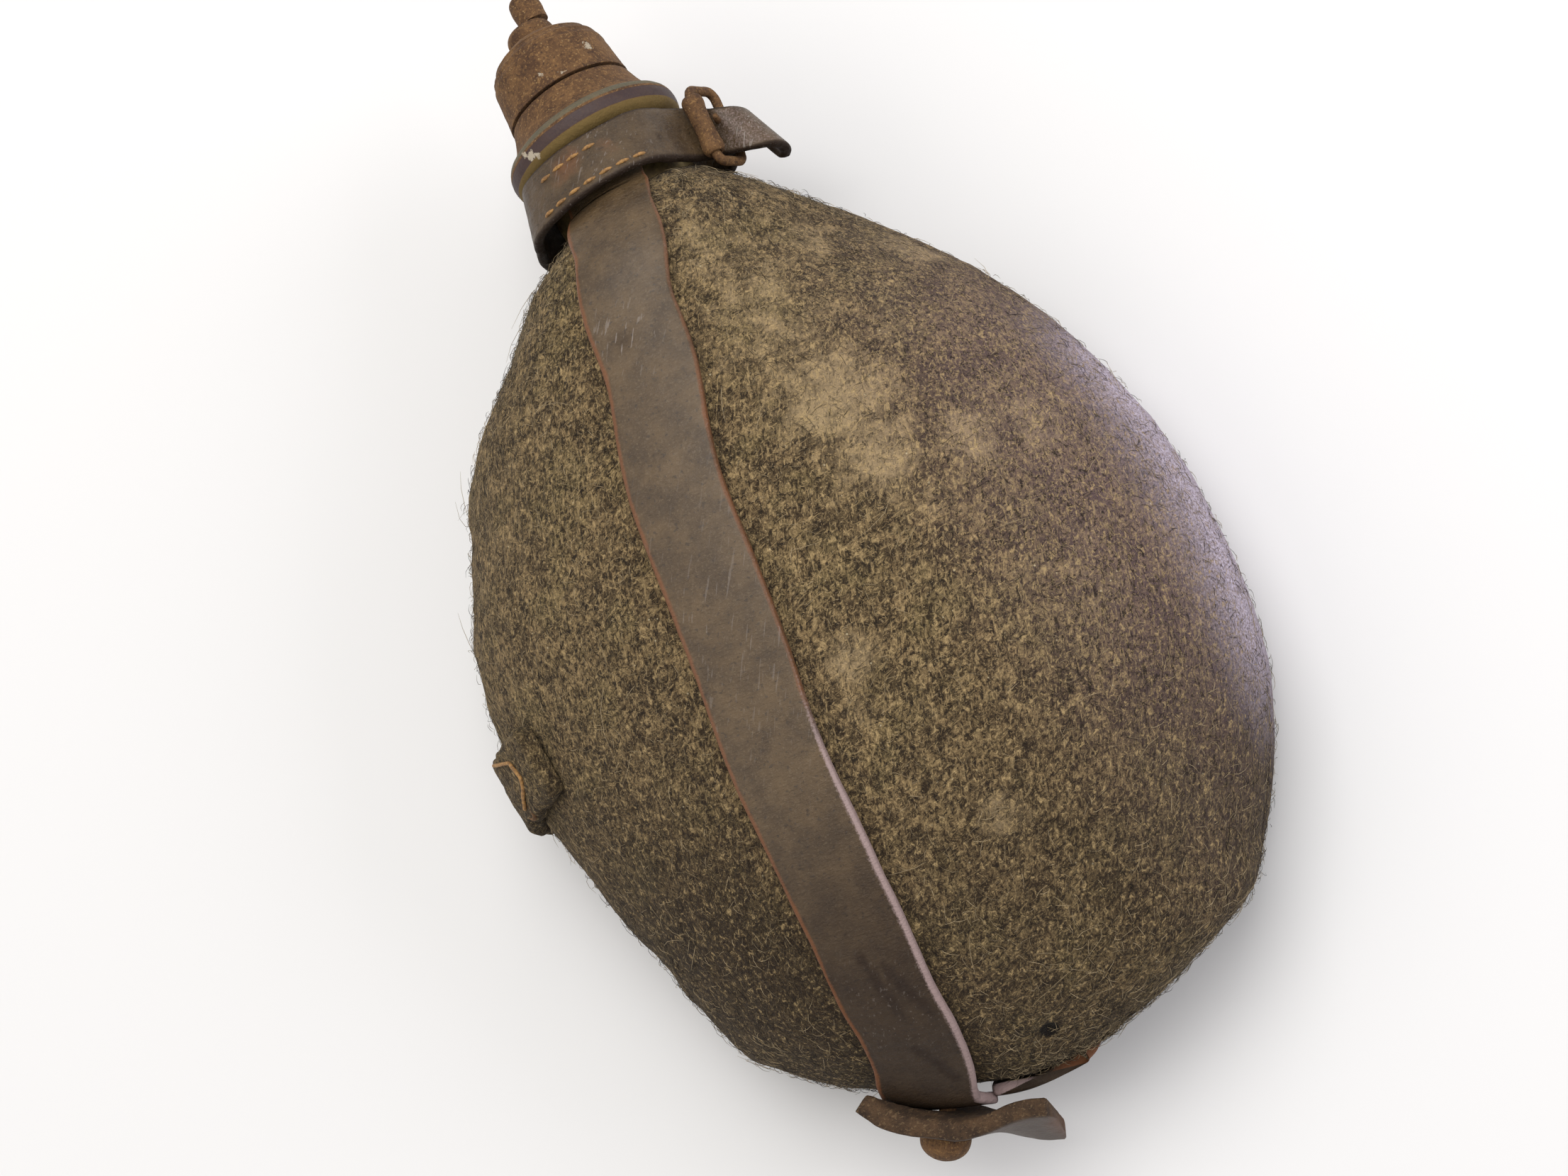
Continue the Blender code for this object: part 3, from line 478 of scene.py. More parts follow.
def laid_on_felt(route, half, rows, lift, steps=10):
    """Under side of a band laid on the felt: rows of points from its left edge to its right edge,
    stepped sideways over the surface, with the normals there."""
    stations = curve_through(route, np.linspace(0.0, 1.0, rows))
    along, around = stations[:, 0], stations[:, 1]
    middle, normal = felt_point(along, around), felt_normal(along, around)
    across = unit(np.cross(normal, np.gradient(middle, axis=0)))
    sides = []
    for sign in (-1.0, 1.0):
        a, t = along.copy(), around.copy()
        columns = []
        for _ in range(steps):
            d_along = (felt_point(a + 0.002, t) - felt_point(np.maximum(a - 0.002, 0.0), t)) / 0.004
            d_turn = (felt_point(a, t + 0.002) - felt_point(a, t - 0.002)) / 0.004
            aa, tt = np.sum(d_along**2, axis=1), np.sum(d_turn**2, axis=1)
            at = np.sum(d_along * d_turn, axis=1)
            want_a, want_t = np.sum(d_along * across, axis=1), np.sum(d_turn * across, axis=1)
            det = aa * tt - at**2
            step_a, step_t = (want_a * tt - want_t * at) / det, (want_t * aa - want_a * at) / det
            moved = np.linalg.norm(d_along * step_a[:, None] + d_turn * step_t[:, None], axis=1)
            a = np.clip(a + sign * step_a * half / steps / moved, 0.0, POLE)
            t = t + sign * step_t * half / steps / moved
            columns.append((a, t))
        sides.append(columns)
    columns = sides[0][::-1] + [(along, around)] + sides[1]
    a = np.stack([pair[0] for pair in columns], axis=1)
    t = np.stack([pair[1] for pair in columns], axis=1)
    return felt_at(a, t, np.broadcast_to(np.asarray(lift)[:, None], a.shape)), felt_normal(a, t)


def body_strap_under(route, end_lift, rows=230):
    """Under side and normals of a body strap, from below the neck strap to its lower end."""
    place = np.linspace(0.0, 1.0, rows)
    lift = CONTACT + (end_lift - CONTACT) * ramp(place, 0.80, 0.92) + 0.5 * (1.0 - ramp(place, 0.1, 0.25))
    spread = STRAP_HALF * (1.0 + 0.07 * ramp(place, 0.10, 0.45))
    under, normal = laid_on_felt(route, spread, rows, lift)
    side = 1.0 if route[0][1] < 0.5 else -1.0
    joint = under[0, under.shape[1] // 2, 2] * side - NECK[2] * side
    heights = np.array([(86.4, NECK_RADIUS + 0.5), (83.2, NECK_RADIUS + 0.6), (80.0, NECK_RADIUS + 1.0),
                        (77.0, NECK_RADIUS + 2.2), (75.4, joint - 0.4), (under[0, 10, 1], joint)])
    y, radius = curve_through(heights, np.linspace(0.0, 0.97, 26)).T
    turn = side * np.linspace(-1.0, 1.0, under.shape[1])[None, :] * STRAP_HALF / (radius[:, None] + 0.5)
    out = np.stack([np.sin(turn), 0.0 * turn, side * np.cos(turn)], axis=-1)
    top = NECK + out * radius[:, None, None] + np.array([0.0, 1.0, 0.0]) * y[:, None, None]
    return np.concatenate([top, under]), np.concatenate([out, normal])


front_under, front_normal = body_strap_under(FRONT_ROUTE, END_LIFT)
back_under, back_normal = body_strap_under(BACK_ROUTE, CONTACT)
JOINT_ROWS = 24  # rows of a strap up to where it reaches the felt
strap_spots = np.concatenate([front_under[JOINT_ROWS:], back_under[JOINT_ROWS:]]).reshape(-1, 3)
pressed = kdtree.KDTree(len(strap_spots))
for number, point in enumerate(strap_spots):
    pressed.insert(point, number)
pressed.balance()


def pressing(points):
    """1 under a body strap, falling to 0 within 3 mm beside it."""
    away = np.array([pressed.find(point)[2] for point in points.reshape(-1, 3)])
    return ramp(away, 3.6, 1.4).reshape(points.shape[:-1])


cover_front = felt_half("felt_front", 1, 196, 236)
cover_back = felt_half("felt_back", -1, 140, 150)
for cover, node, flat, area in ((cover_front, "cover_front", (0.235, 0.245), 0.036),
                                (cover_back, "cover_back", (0.205, 0.245), 0.032)):
    placed(cover, "root", node)


def paint_leather(shade):
    """Smooth brown strap leather: dark ground, orange-brown where its left edge is worn, a grey
    cut edge on the right with a painted lilac highlight, fine creases and a few pale scratches."""
    mottle = shade.cloud(6.0, 4.0, 0.6)
    fine = shade.cloud(0.45, 3.0, 0.65)
    left, right = shade.mark("left"), shade.mark("right")
    ground = mottle.ease(0.2, 0.8).blend((0.048, 0.029, 0.014), (0.108, 0.068, 0.032))
    ground = (fine.ease(0.52, 0.68) * 0.45).blend(ground, (0.150, 0.108, 0.062))
    ground = (shade.cloud(0.9, 2.0).ease(0.60, 0.70) * 0.55).blend(ground, (0.018, 0.012, 0.009))
    # the dark mark: painted shade in the body straps' creases and lower ends and in the neck strap's
    # punched holes, and on the neck strap also its dark edges and a darker tone towards -X
    ground = (shade.mark("dark") * 0.88).blend(ground, (0.018, 0.010, 0.007))
    ground = ((left + mottle * 0.8 - 0.50).ease(0.25, 0.75) * 0.75).blend(ground, (0.170, 0.062, 0.022))
    # lilac-grey where the right mark is set: on the body straps a grey cut edge with a painted lilac
    # highlight, on the neck strap greyer towards the tongue
    ground = ((right + fine * 0.6 - 0.35).ease(0.20, 0.60) * 0.85).blend(ground, (0.330, 0.240, 0.230))
    scratch = shade.cloud(0.5, 1.0, 0.5, (1.0, 0.06, 1.0), (0, 0, 38)).ease(0.655, 0.70)
    ground = (scratch * shade.mark("scuff") * 0.8).blend(ground, (0.250, 0.215, 0.190))
    crease = shade.cloud(1.3, 3.0, 0.6, (1.0, 2.2, 1.0), (0, 0, 8), 0.4)
    rough = (shade.cloud(1.6, 3.0).ease(0.3, 0.7) * 0.22 + 0.34 + left * 0.15 + right * 0.25
             + shade.mark("dark") * 0.22)
    return {"Base Color": ground, "Roughness": rough, "Coat Weight": (1.0 - shade.mark("dark")) * 0.35,
            "Normal": shade.bump(fine, 0.10, shade.bump(crease, 0.35))}


leather = finish_of("smooth_brown_leather", paint_leather, Specular_IOR_Level=0.22, Coat_Roughness=0.40)


def section(half, thick, corner, flat=18, bend=5):
    """Rounded-rectangle section as shares: across -1..1 and height 0..1, going round once."""
    turn = np.linspace(0.0, math.pi / 2.0, bend + 1)[1:-1]
    run = np.linspace(corner - half, half - corner, flat)
    low = (corner * np.sin(turn), corner - corner * np.cos(turn))
    across = np.concatenate([run, half - corner + low[0], [half, half],
                             half - corner + low[0][::-1], run[::-1], corner - half - low[0],
                             [-half, -half], corner - half - low[0][::-1]])
    height = np.concatenate([0.0 * run, low[1], [corner, thick - corner], thick - low[1][::-1],
                             0.0 * run + thick, thick - low[1], [thick - corner, corner], low[1][::-1]])
    return across / half, height / thick


def strap_piece(name, under, normal, thick, half, finish, marks, rough=0.05, corner=0.8):
    """Band of rounded section standing on rows of under-side points along their normals."""
    across, height = section(half, float(np.max(thick)), corner)
    spot = (across + 1.0) / 2.0 * (under.shape[1] - 1)
    low = np.clip(np.floor(spot).astype(int), 0, under.shape[1] - 2)
    part = (spot - low)[:, None]
    base = under[:, low] * (1.0 - part) + under[:, low + 1] * part
    out = unit(normal[:, low] * (1.0 - part) + normal[:, low + 1] * part)
    rows = len(under)
    points = base + out * (np.broadcast_to(thick, rows)[:, None] * height)[..., None]
    middle = points.mean(axis=1, keepdims=True)
    worn = rough * (grain(points, 1.7, 11) + 0.7 * grain(points, 5.0, 12))
    points += unit(points - middle) * worn[..., None]
    end = np.arange(rows)
    close = np.minimum(end, rows - 1 - end)
    shrink = 1.0 - np.where(close == 0, 0.30, np.where(close == 1, 0.06, 0.0))
    points = middle + (points - middle) * shrink[:, None, None]
    # painted highlight: the right edge of a body strap turns lilac-grey towards its lower end
    lilac_highlight = ramp(points[..., 1], -30.0, -70.0)
    edge = np.broadcast_to(ramp(across, 0.86, 0.97), points.shape[:2])
    values = {"left": np.broadcast_to(ramp(across, -0.80, -0.97), points.shape[:2])
              + edge * (1.0 - lilac_highlight) * 0.7, "right": edge * (0.25 + 0.75 * lilac_highlight)}
    values.update(marks(points))
    return grid_piece(name, points, finish, wrap=True, ends="fan", attributes=values)


# Creases near the lower end, painted as dark lines of shade: top y, low y, share across at the top, and
# how far it runs sideways.
CREASES = ((-84.0, -100.0, -0.12, 0.30), (-88.0, -102.0, 0.22, 0.55), (-104.0, -114.0, 0.0, 0.7))


def body_strap_marks(points):
    """Scuffs, and painted shade: dark lines where the strap is creased and a painted shadow near its lower
    end.
    """
    scuff = patches(points, ((-22.6, -97.3, 58.0, 12.0, 0.3), (2.0, 42.5, 70.9, 8.0, 0.7),
                             (-8.0, -20.0, 74.0, 26.0, 0.35)))
    y = points[..., 1]
    across = np.broadcast_to(section(STRAP_HALF, STRAP, 0.8)[0], y.shape)
    # painted shadow darkening the strap towards its lower end, and a small dark spot
    dark = 0.80 * ramp(y, -40.0, -100.0) + patches(points, ((2.0, 42.5, 72.0, 2.2, 0.8),))
    for top, low, start, lean in CREASES:
        share = (top - y) / (top - low)
        line = np.exp(-((across - start - lean * share) / 0.07) ** 2)
        dark = dark + line * ramp(share, -0.05, 0.15) * ramp(share, 1.05, 0.7)
    return {"scuff": scuff, "dark": np.clip(dark, 0.0, 1.0)}


for name, under, normal in (("front_body_strap", front_under, front_normal),
                            ("back_body_strap", back_under, back_normal)):
    thick = SKIVED + (STRAP - SKIVED) * ramp(np.linspace(0.0, 1.0, len(under)), 0.10, 0.20)
    strap = strap_piece(name, under, normal, thick, STRAP_HALF, leather, body_strap_marks)
    placed(strap, "root", name.replace("_body", ""))

# ---------------------------------------------------------------------------
# Flask. A tinned steel bottle inside the felt; only a brassy yellowed band of its neck shows,
# between the neck strap and the screwed cone above.
def paint_tin(shade):
    """Old tinned steel, yellowed and brown-stained."""
    stain = shade.cloud(3.0, 4.0, 0.6)
    ground = stain.ease(0.35, 0.65).blend((0.30, 0.22, 0.085), (0.14, 0.095, 0.045))
    return {"Base Color": ground, "Roughness": stain * 0.4 + 0.25}


tin = finish_of("old_tinned_steel", paint_tin, Metallic=0.75)
FLASK_INSET = 3.6
METAL = 1.2
FLASK_NECK = ((72.0, 15.6), (78.0, 15.8), (88.0, 15.8), (91.0, 15.4), (96.5, 13.0), (101.0, 10.4),
              (105.5, 9.4), (116.0, 9.4))
turns = np.arange(120) / 120.0


def flask_wall(inset, thinner):
    """Rings of the flask from its bottom to its mouth, this far inside the felt's outer face."""
    along = np.linspace(0.985, 0.15, 70)[:, None]
    body = felt_at(along + 0.0 * turns, turns + 0.0 * along, np.full((70, 120), -inset))
    y, radius = curve_through(FLASK_NECK, np.linspace(0.0, 1.0, 50)).T
    turn = turns * 2.0 * math.pi
    neck = np.stack([NECK[0] + (radius[:, None] - thinner) * np.cos(turn),
                     y[:, None] + 0.0 * turn,
                     NECK[2] + (radius[:, None] - thinner) * np.sin(turn)], axis=-1)
    return np.concatenate([body, neck])


flask = grid_piece("flask", np.concatenate([flask_wall(FLASK_INSET, 0.0),
                                            flask_wall(FLASK_INSET + METAL, METAL)[::-1]]),
                   tin, wrap=True, ends="fan")
placed(flask, "root", "flask_body")

# ---------------------------------------------------------------------------
# Neck cone and screw cap. Rusted sheet steel with the last of a dark paint: a cone with a bead and
# a rolled rim stands on the neck, and over it goes a stepped drum with a small off-centre spout.
def paint_rust(shade):
    """Fine brown rust with ochre specks and dark pits; old dark paint and a grey-green bead where
    those are painted on the points, and a few pale chips."""
    broad = shade.cloud(4.5, 4.0, 0.65)
    fine = shade.cloud(0.6, 4.0, 0.7)
    ground = broad.ease(0.32, 0.68).blend((0.070, 0.033, 0.015), (0.160, 0.082, 0.032))
    ground = (fine.ease(0.52, 0.66) * 0.75).blend(ground, (0.270, 0.150, 0.055))
    ground = ((1.0 - fine).ease(0.56, 0.68) * 0.8).blend(ground, (0.026, 0.015, 0.011))
    ground = (shade.cells(1.3).ease(0.16, 0.08) * 0.7).blend(ground, (0.330, 0.215, 0.095))
    green = (shade.mark("green") + fine * 0.5 - 0.25).ease(0.2, 0.6)
    ground = (green * 0.7).blend(ground, (0.105, 0.105, 0.070))
    olive = (shade.mark("olive") + fine * 0.4 - 0.2).ease(0.2, 0.6)
    ground = (olive * 0.85).blend(ground, (0.150, 0.100, 0.028))
    paint = (shade.mark("paint") + broad * 0.5 + fine * 0.3 - 0.40).ease(0.25, 0.5)
    ground = (paint * 0.9).blend(ground, (0.030, 0.014, 0.015))
    chip = (shade.mark("chip") * 0.9 + shade.cloud(1.1, 3.0, 0.7) - 0.75).ease(0.22, 0.34)
    ground = (chip * 0.9).blend(ground, (0.42, 0.36, 0.27))
    rough = 0.82 - paint * 0.25 - green * 0.15
    return {"Base Color": ground, "Roughness": rough,
            "Metallic": 0.25 - paint * 0.25,
            "Normal": shade.bump(fine * (1.1 - paint * 0.8), 0.22, shade.bump(broad, 0.35))}


rust = finish_of("brown_rusted_steel", paint_rust, Specular_IOR_Level=0.4)
CHIPS = ((22.2, 110.3, 45.9, 1.6, 0.8), (11.4, 108.4, 51.8, 1.6, 0.6), (16.0, 106.2, 51.1, 2.0, 0.55),
         (1.7, 93.0, 55.2, 1.6, 0.9), (0.4, 94.2, 54.2, 1.5, 0.8), (2.9, 92.0, 56.0, 1.3, 0.8))


def lathe(name, profile, finish, base=(11.2, 0.0, 38.0), axis=(0.0, 1.0, 0.0), smooth_to=None,
          fine=70, around=150, wobble=0.05, ends="open", paints=()):
    """Piece turned about an axis from (radius, height) rows: the first rows up to smooth_to are
    joined by cubics, the rest by straight lines, and an open profile is closed at its ends."""
    profile = np.asarray(profile, float)
    smooth_to = len(profile) if smooth_to is None else smooth_to
    rows = curve_through(profile[:smooth_to], np.linspace(0.0, 1.0, fine))
    for start, end in zip(profile[smooth_to - 1:-1], profile[smooth_to:]):
        rows = np.concatenate([rows, start + (end - start) * np.array([[0.06], [0.5], [0.94], [1.0]])])
    if ends == "open":
        rows = np.concatenate([rows, rows[:1]])
    axis = unit(np.asarray(axis, float))
    side = unit(np.cross(axis, (0.3, 0.1, 1.0)))
    other = np.cross(side, axis)
    ring = rings(around, side, other)
    points = np.asarray(base) + rows[:, 1, None, None] * axis + rows[:, 0, None, None] * ring
    points += wobble * (grain(points, 2.6, 21) + grain(points, 0.9, 22))[..., None] * ring
    values = {key: np.broadcast_to(np.clip(ramp(rows[:, 1], lo - soft, lo + soft)
                                           * ramp(rows[:, 1], hi + soft, hi - soft)
                                           * (rows[:, 0] > least), 0, 1)[:, None], points.shape[:2])
              for key, lo, hi, soft, least in paints}
    values["chip"] = patches(points, CHIPS)
    return grid_piece(name, points, finish, wrap=True, ends=ends, merge=ends == "open",
                      attributes=values)


CONE = ((11.9, 104.7), (14.0, 104.5), (14.6, 103.0), (15.1, 101.5), (16.6, 98.6), (18.2, 96.9),
        (19.2, 96.2), (19.8, 94.8), (19.7, 92.6), (18.9, 90.6), (17.6, 89.8), (16.5, 90.2),
        (16.3, 91.2), (17.4, 91.6), (18.3, 93.0), (18.3, 94.4), (17.6, 95.2), (15.4, 97.4),
        (13.6, 101.0), (11.9, 103.4))
DRUM = ((5.6, 121.2), (7.2, 120.7), (8.9, 119.7), (10.2, 118.9), (11.2, 117.9), (11.9, 117.0),
        (12.5, 116.4), (12.7, 115.3), (13.2, 114.5), (13.35, 113.2), (13.6, 110.4), (13.9, 107.6),
        (14.2, 105.4), (14.2, 105.2), (11.6, 105.2), (11.2, 105.8), (11.2, 118.2), (4.6, 118.2),
        (4.6, 121.2))
BOSS = ((3.9, 125.1), (4.6, 124.8), (5.2, 123.9), (5.45, 122.6), (5.4, 121.5), (5.4, 121.45),
        (4.3, 121.4), (4.3, 118.6), (3.9, 118.6))
SPOUT = ((1.5, 132.0), (2.4, 132.0), (3.0, 131.4), (3.3, 130.2), (3.3, 125.4), (3.3, 125.3), (1.5, 125.3))
SEAL = ((10.7, 117.9), (10.7, 116.4), (6.0, 116.4), (6.0, 117.9))
THREAD = [(10.3, 115.6)]
for ridge in range(3):
    THREAD += [(10.3, 114.6 - ridge * 3.0), (10.8, 113.9 - ridge * 3.0), (10.8, 113.5 - ridge * 3.0),
               (10.3, 112.8 - ridge * 3.0)]
THREAD += [(10.3, 106.2), (9.7, 106.2), (9.7, 115.6)]


def paint_plain(low, high, size):
    """Paint of two colours in clouds of one size, with a fine bump."""
    def paint(shade):
        """Two tones and a fine bump."""
        tone = shade.cloud(size, 3.0, 0.6)
        return {"Base Color": tone.ease(0.35, 0.65).blend(low, high), "Normal": shade.bump(tone, 0.15)}
    return paint


brass = finish_of("dull_brass", paint_plain((0.24, 0.16, 0.06), (0.12, 0.08, 0.04), 1.5),
                  Metallic=0.85, Roughness=0.45)
rubber = finish_of("black_rubber", paint_plain((0.020, 0.020, 0.020), (0.045, 0.042, 0.038), 2.0),
                   Roughness=0.8)
SPOUT_BASE = (13.5, 0.0, 38.0)
for name, node, body, slot, finish, profile, keys in (
        ("screwed_cone", "neck_cone", "root", "rust", rust, CONE,
         {"paints": (("paint", 92.2, 94.4, 0.5, 16.9), ("green", 95.2, 96.9, 0.4, 17.0),
                     ("olive", 86.0, 92.0, 0.4, 16.0)), "fine": 150}),
        ("cap_drum_shell", "cap_drum", "cap", "rust", rust, DRUM,
         {"smooth_to": 13, "fine": 110}),
        ("cap_top_boss", "cap_boss", "cap", "rust", rust, BOSS,
         {"smooth_to": 5, "fine": 24, "ends": "fan", "around": 64}),
        ("cap_spout", "spout_tube", "cap", "rust", rust, SPOUT,
         {"smooth_to": 5, "fine": 26, "around": 56, "base": SPOUT_BASE}),
        ("cap_seal_ring", "cap_seal", "cap_lift", "rubber", rubber, SEAL,
         {"smooth_to": 2, "fine": 4, "wobble": 0.0}),
        ("mouth_thread", "thread_sleeve", "root", "brass", brass, THREAD,
         {"smooth_to": 2, "fine": 3, "wobble": 0.0})):
    turned = lathe(name, profile, finish, **keys)
    placed(turned, body, node)

# ---------------------------------------------------------------------------
# Neck strap. A heavy leather band round the neck over the ends of both body straps; its tongue
# goes under the roller and curls at its end, and its other end holds the buckle's pivot bar.
NECK_HALF = 6.5
NECK_STRAP = 2.4
FLARE = 1.9
TONGUE = ((41.8, 74.9, 32.8), (43.3, 74.9, 35.4), (43.5, 75.2, 38.8), (42.1, 75.8, 41.6),
          (39.2, 77.0, 42.6), (36.4, 78.8, 42.0), (33.4, 80.2, 42.0), (30.4, 81.0, 44.8))
CHAPE = ((28.4, 80.6, 26.4), (31.4, 80.5, 29.8), (33.8, 80.4, 33.0), (35.2, 80.4, 34.8))
BAND_RADIUS, BAND_Y, BAND_LEAN, BAND_BUMP = 20.2, 82.3, 0.9, 2.2
neck_turn = np.radians(np.linspace(44.0, 310.0, 40))
far = BAND_RADIUS + BAND_BUMP * sum(1.0 - ramp(np.abs(np.degrees(neck_turn) - middle), 34.0, 62.0)
                                    for middle in (96.0, 264.0))
ring = np.stack([NECK[0] + far * np.cos(neck_turn), BAND_Y - BAND_LEAN * np.cos(neck_turn),
                 NECK[2] + far * np.sin(neck_turn)], axis=1)
line = curve_through(np.concatenate([TONGUE, ring, CHAPE]), np.linspace(0.0, 1.0, 300))
forward = unit(np.gradient(line, axis=0) * (1.0, 0.0, 1.0))
up = np.stack([forward[:, 2], 0.0 * line[:, 1], -forward[:, 0]], axis=1)
radial = (line - NECK) * (1.0, 0.0, 1.0)
up *= np.sign(np.sum(up[150] * radial[150]))
away = np.linalg.norm(radial, axis=1)
angle = np.degrees(np.arctan2(radial[:, 2], radial[:, 0])) % 360.0
flare = FLARE * ramp(angle, 44.0, 75.0) * ramp(angle, 312.0, 292.0) * ramp(away, 26.0, 22.8)
slant = 0.30 * ramp(np.linspace(0.0, 1.0, 300), 0.17, 0.05)
reach = NECK_HALF * np.stack([-np.sin(slant), np.cos(slant), 0.0 * slant], axis=1) - up * flare[:, None]
shares = np.linspace(-1.0, 1.0, 21)[None, :, None]
neck_under = line[:, None] - up[:, None] * NECK_STRAP / 2.0 + reach[:, None] * shares
neck_normal = np.repeat(up[:, None], 21, axis=1)
# Two punched holes, painted as dark spots of shade: x, y, z, radius and strength.
PUNCHED_HOLE_SHADE = ((21.8, 81.0, 57.6, 1.0, 1.2), (25.9, 80.6, 53.8, 1.0, 1.2))


def neck_strap_marks(points):
    """Dull dark edges above and below, greyer towards the tongue, darker overall and more so towards -X,
    and painted shade in two punched holes.
    """
    x = points[..., 0]
    across = section(NECK_HALF, NECK_STRAP, 0.9)[0]
    edge = np.broadcast_to(ramp(np.abs(across), 0.84, 0.95), points.shape[:2])
    grey = ramp(x, 24.0, 40.0) * ramp(points[..., 2], 30.0, 44.0)
    dark = 0.85 * edge + 0.22 + 0.25 * ramp(x, 4.0, -12.0) + patches(points, PUNCHED_HOLE_SHADE)
    return {"left": patches(points, ((8.0, 85.0, 61.0, 7.0, 0.62), (17.0, 84.0, 60.0, 5.0, 0.5))),
            "right": np.clip(0.35 * grey * (1.0 - edge), 0, 1), "dark": np.clip(dark, 0, 1),
            "scuff": patches(points, ((41.0, 75.0, 43.0, 6.0, 1.0), (14.0, 82.0, 61.0, 14.0, 0.5)))}


neck_strap = strap_piece("neck_band", neck_under, neck_normal, NECK_STRAP, NECK_HALF, leather,
                         neck_strap_marks, rough=0.08, corner=0.9)
placed(neck_strap, "root", "neck_strap")


def tube_piece(name, path, radius, finish, sides=14, closed=False):
    """Round wire along points, its section carried along without twist."""
    if closed:
        path = np.concatenate([path, path[:1]])
        tangent = unit(np.roll(path[:-1], -1, axis=0) - np.roll(path[:-1], 1, axis=0))
        tangent = np.concatenate([tangent, tangent[:1]])
    else:
        tangent = unit(np.gradient(path, axis=0))
    side = unit(np.cross(tangent[0], (0.31, 0.22, 0.93)))
    frames = []
    for heading in tangent:
        side = unit(side - heading * np.dot(side, heading))
        frames.append(side)
    side = np.array(frames)
    other = np.cross(tangent, side)
    ring = rings(sides, side, other)
    if closed:
        ring[-1] = ring[0]
    points = path[:, None] + ring * np.broadcast_to(radius, len(path))[:, None, None]
    points += 0.04 * (grain(points, 1.3, 31) + grain(points, 0.6, 32))[..., None] * ring
    return grid_piece(name, points, finish, wrap=True, ends="open" if closed else "fan",
                      merge=closed)


def stitches(name, rows, pitch, length, radius, finish):
    """Short thick threads laid end to end along rows of points, in one mesh; each is a six-sided
    spindle bowed out of the leather."""
    pieces = []
    for path, out in rows:
        run = np.concatenate([[0.0], np.cumsum(np.linalg.norm(np.diff(path, axis=0), axis=1))])
        for start in np.arange(0.5 * pitch, run[-1] - pitch, pitch):
            at = start + np.linspace(0.0, length, 7)
            points = np.stack([np.interp(at, run, path[:, k]) for k in range(3)], axis=1)
            rise = np.stack([np.interp(at, run, out[:, k]) for k in range(3)], axis=1)
            bow = np.sin(np.linspace(0.0, math.pi, 7))
            pieces.append((points + rise * (bow * 0.34 - 0.16)[:, None], radius * (0.55 + 0.45 * bow)))
    verts, faces = [], []
    for path, size in pieces:
        tangent = unit(np.gradient(path, axis=0))
        side = unit(np.cross(tangent, (0.3, 0.2, 0.93)))
        other = np.cross(tangent, side)
        ring = path[:, None] + size[:, None, None] * rings(6, side, other)
        first = len(verts)
        verts.extend(ring.reshape(-1, 3))
        for row, k in np.ndindex(6, 6):
            a, b = first + row * 6 + k, first + row * 6 + (k + 1) % 6
            faces.append((a, b, b + 6, a + 6))
        faces.append(tuple(first + k for k in range(5, -1, -1)))
        faces.append(tuple(first + 36 + k for k in range(6)))
    mesh = bpy.data.meshes.new(name)
    mesh.from_pydata(np.array(verts) * MM, [], faces)
    mesh.materials.append(finish)
    mesh.shade_smooth()
    return added(name, mesh)


thread = finish_of("waxed_ochre_thread", paint_plain((0.36, 0.19, 0.055), (0.17, 0.085, 0.028), 0.8),
                   Roughness=0.7)
STITCH_PITCH, STITCH, THREAD_RADIUS = 3.9, 2.9, 0.42
sewn = []
for share, low, high in ((0.42, 74.0, 128.0), (-0.70, 56.0, 130.0)):
    pick = (angle > low) & (angle < high) & (away > 19.0)
    sewn.append(((line + up * NECK_STRAP / 2.0 + reach * share)[pick], up[pick]))
neck_stitches = stitches("neck_strap_stitches", sewn, STITCH_PITCH, STITCH, THREAD_RADIUS, thread)
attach(neck_stitches, "root")

# ---------------------------------------------------------------------------
# Roller buckle. A rusty wire frame with a brown tube turning on its outer bar, and a short prong
# on the pivot bar that comes up through the tongue.
BUCKLE_Y = 80.2
LEAN = np.array([0.105, 0.9945, 0.0])
ROLLER_AT = np.array([34.4, 46.2])
PIVOT_AT = np.array([37.5, 37.8])
WIRE = 1.05
FRAME_HALF = 8.5
PRONG_WIRE = 0.65
BEND = 2.0


def arc(centre, radius, start, end, steps):
    """Points of an arc in a plane, angles in degrees."""
    turn = np.radians(np.linspace(start, end, steps))
    return np.stack([centre[0] + radius * np.cos(turn), centre[1] + radius * np.sin(turn)], axis=1)


length = np.linalg.norm(ROLLER_AT - PIVOT_AT)
heading = (ROLLER_AT - PIVOT_AT) / length
corners = np.concatenate([arc(centre, BEND, start, start + 90.0, 9) for centre, start in (
    ((length - BEND, FRAME_HALF - BEND), 0.0), ((BEND, FRAME_HALF - BEND), 90.0),
    ((BEND, BEND - FRAME_HALF), 180.0), ((length - BEND, BEND - FRAME_HALF), 270.0))])
frame_path = []
for start, end in zip(corners, np.roll(corners, -1, axis=0)):
    parts = max(1, int(np.linalg.norm(end - start) / 0.5))
    frame_path.append(start + (end - start) * (np.arange(parts) / parts)[:, None])
frame_path = np.concatenate(frame_path)
u, v = frame_path[:, :1], frame_path[:, 1:]
frame_path = np.concatenate([PIVOT_AT[0] + heading[0] * u + LEAN[0] * v, BUCKLE_Y + LEAN[1] * v,
                             PIVOT_AT[1] + heading[1] * u], axis=1)
buckle = tube_piece("buckle_wire", frame_path, WIRE, rust, closed=True)
placed(buckle, "root", "buckle_frame")
ROLLER = ((1.8, 6.7), (2.1, 6.3), (2.12, 3.0), (2.05, 0.0), (2.12, -3.0), (2.1, -6.3), (1.8, -6.7),
          (1.3, -6.7), (1.3, 6.7))
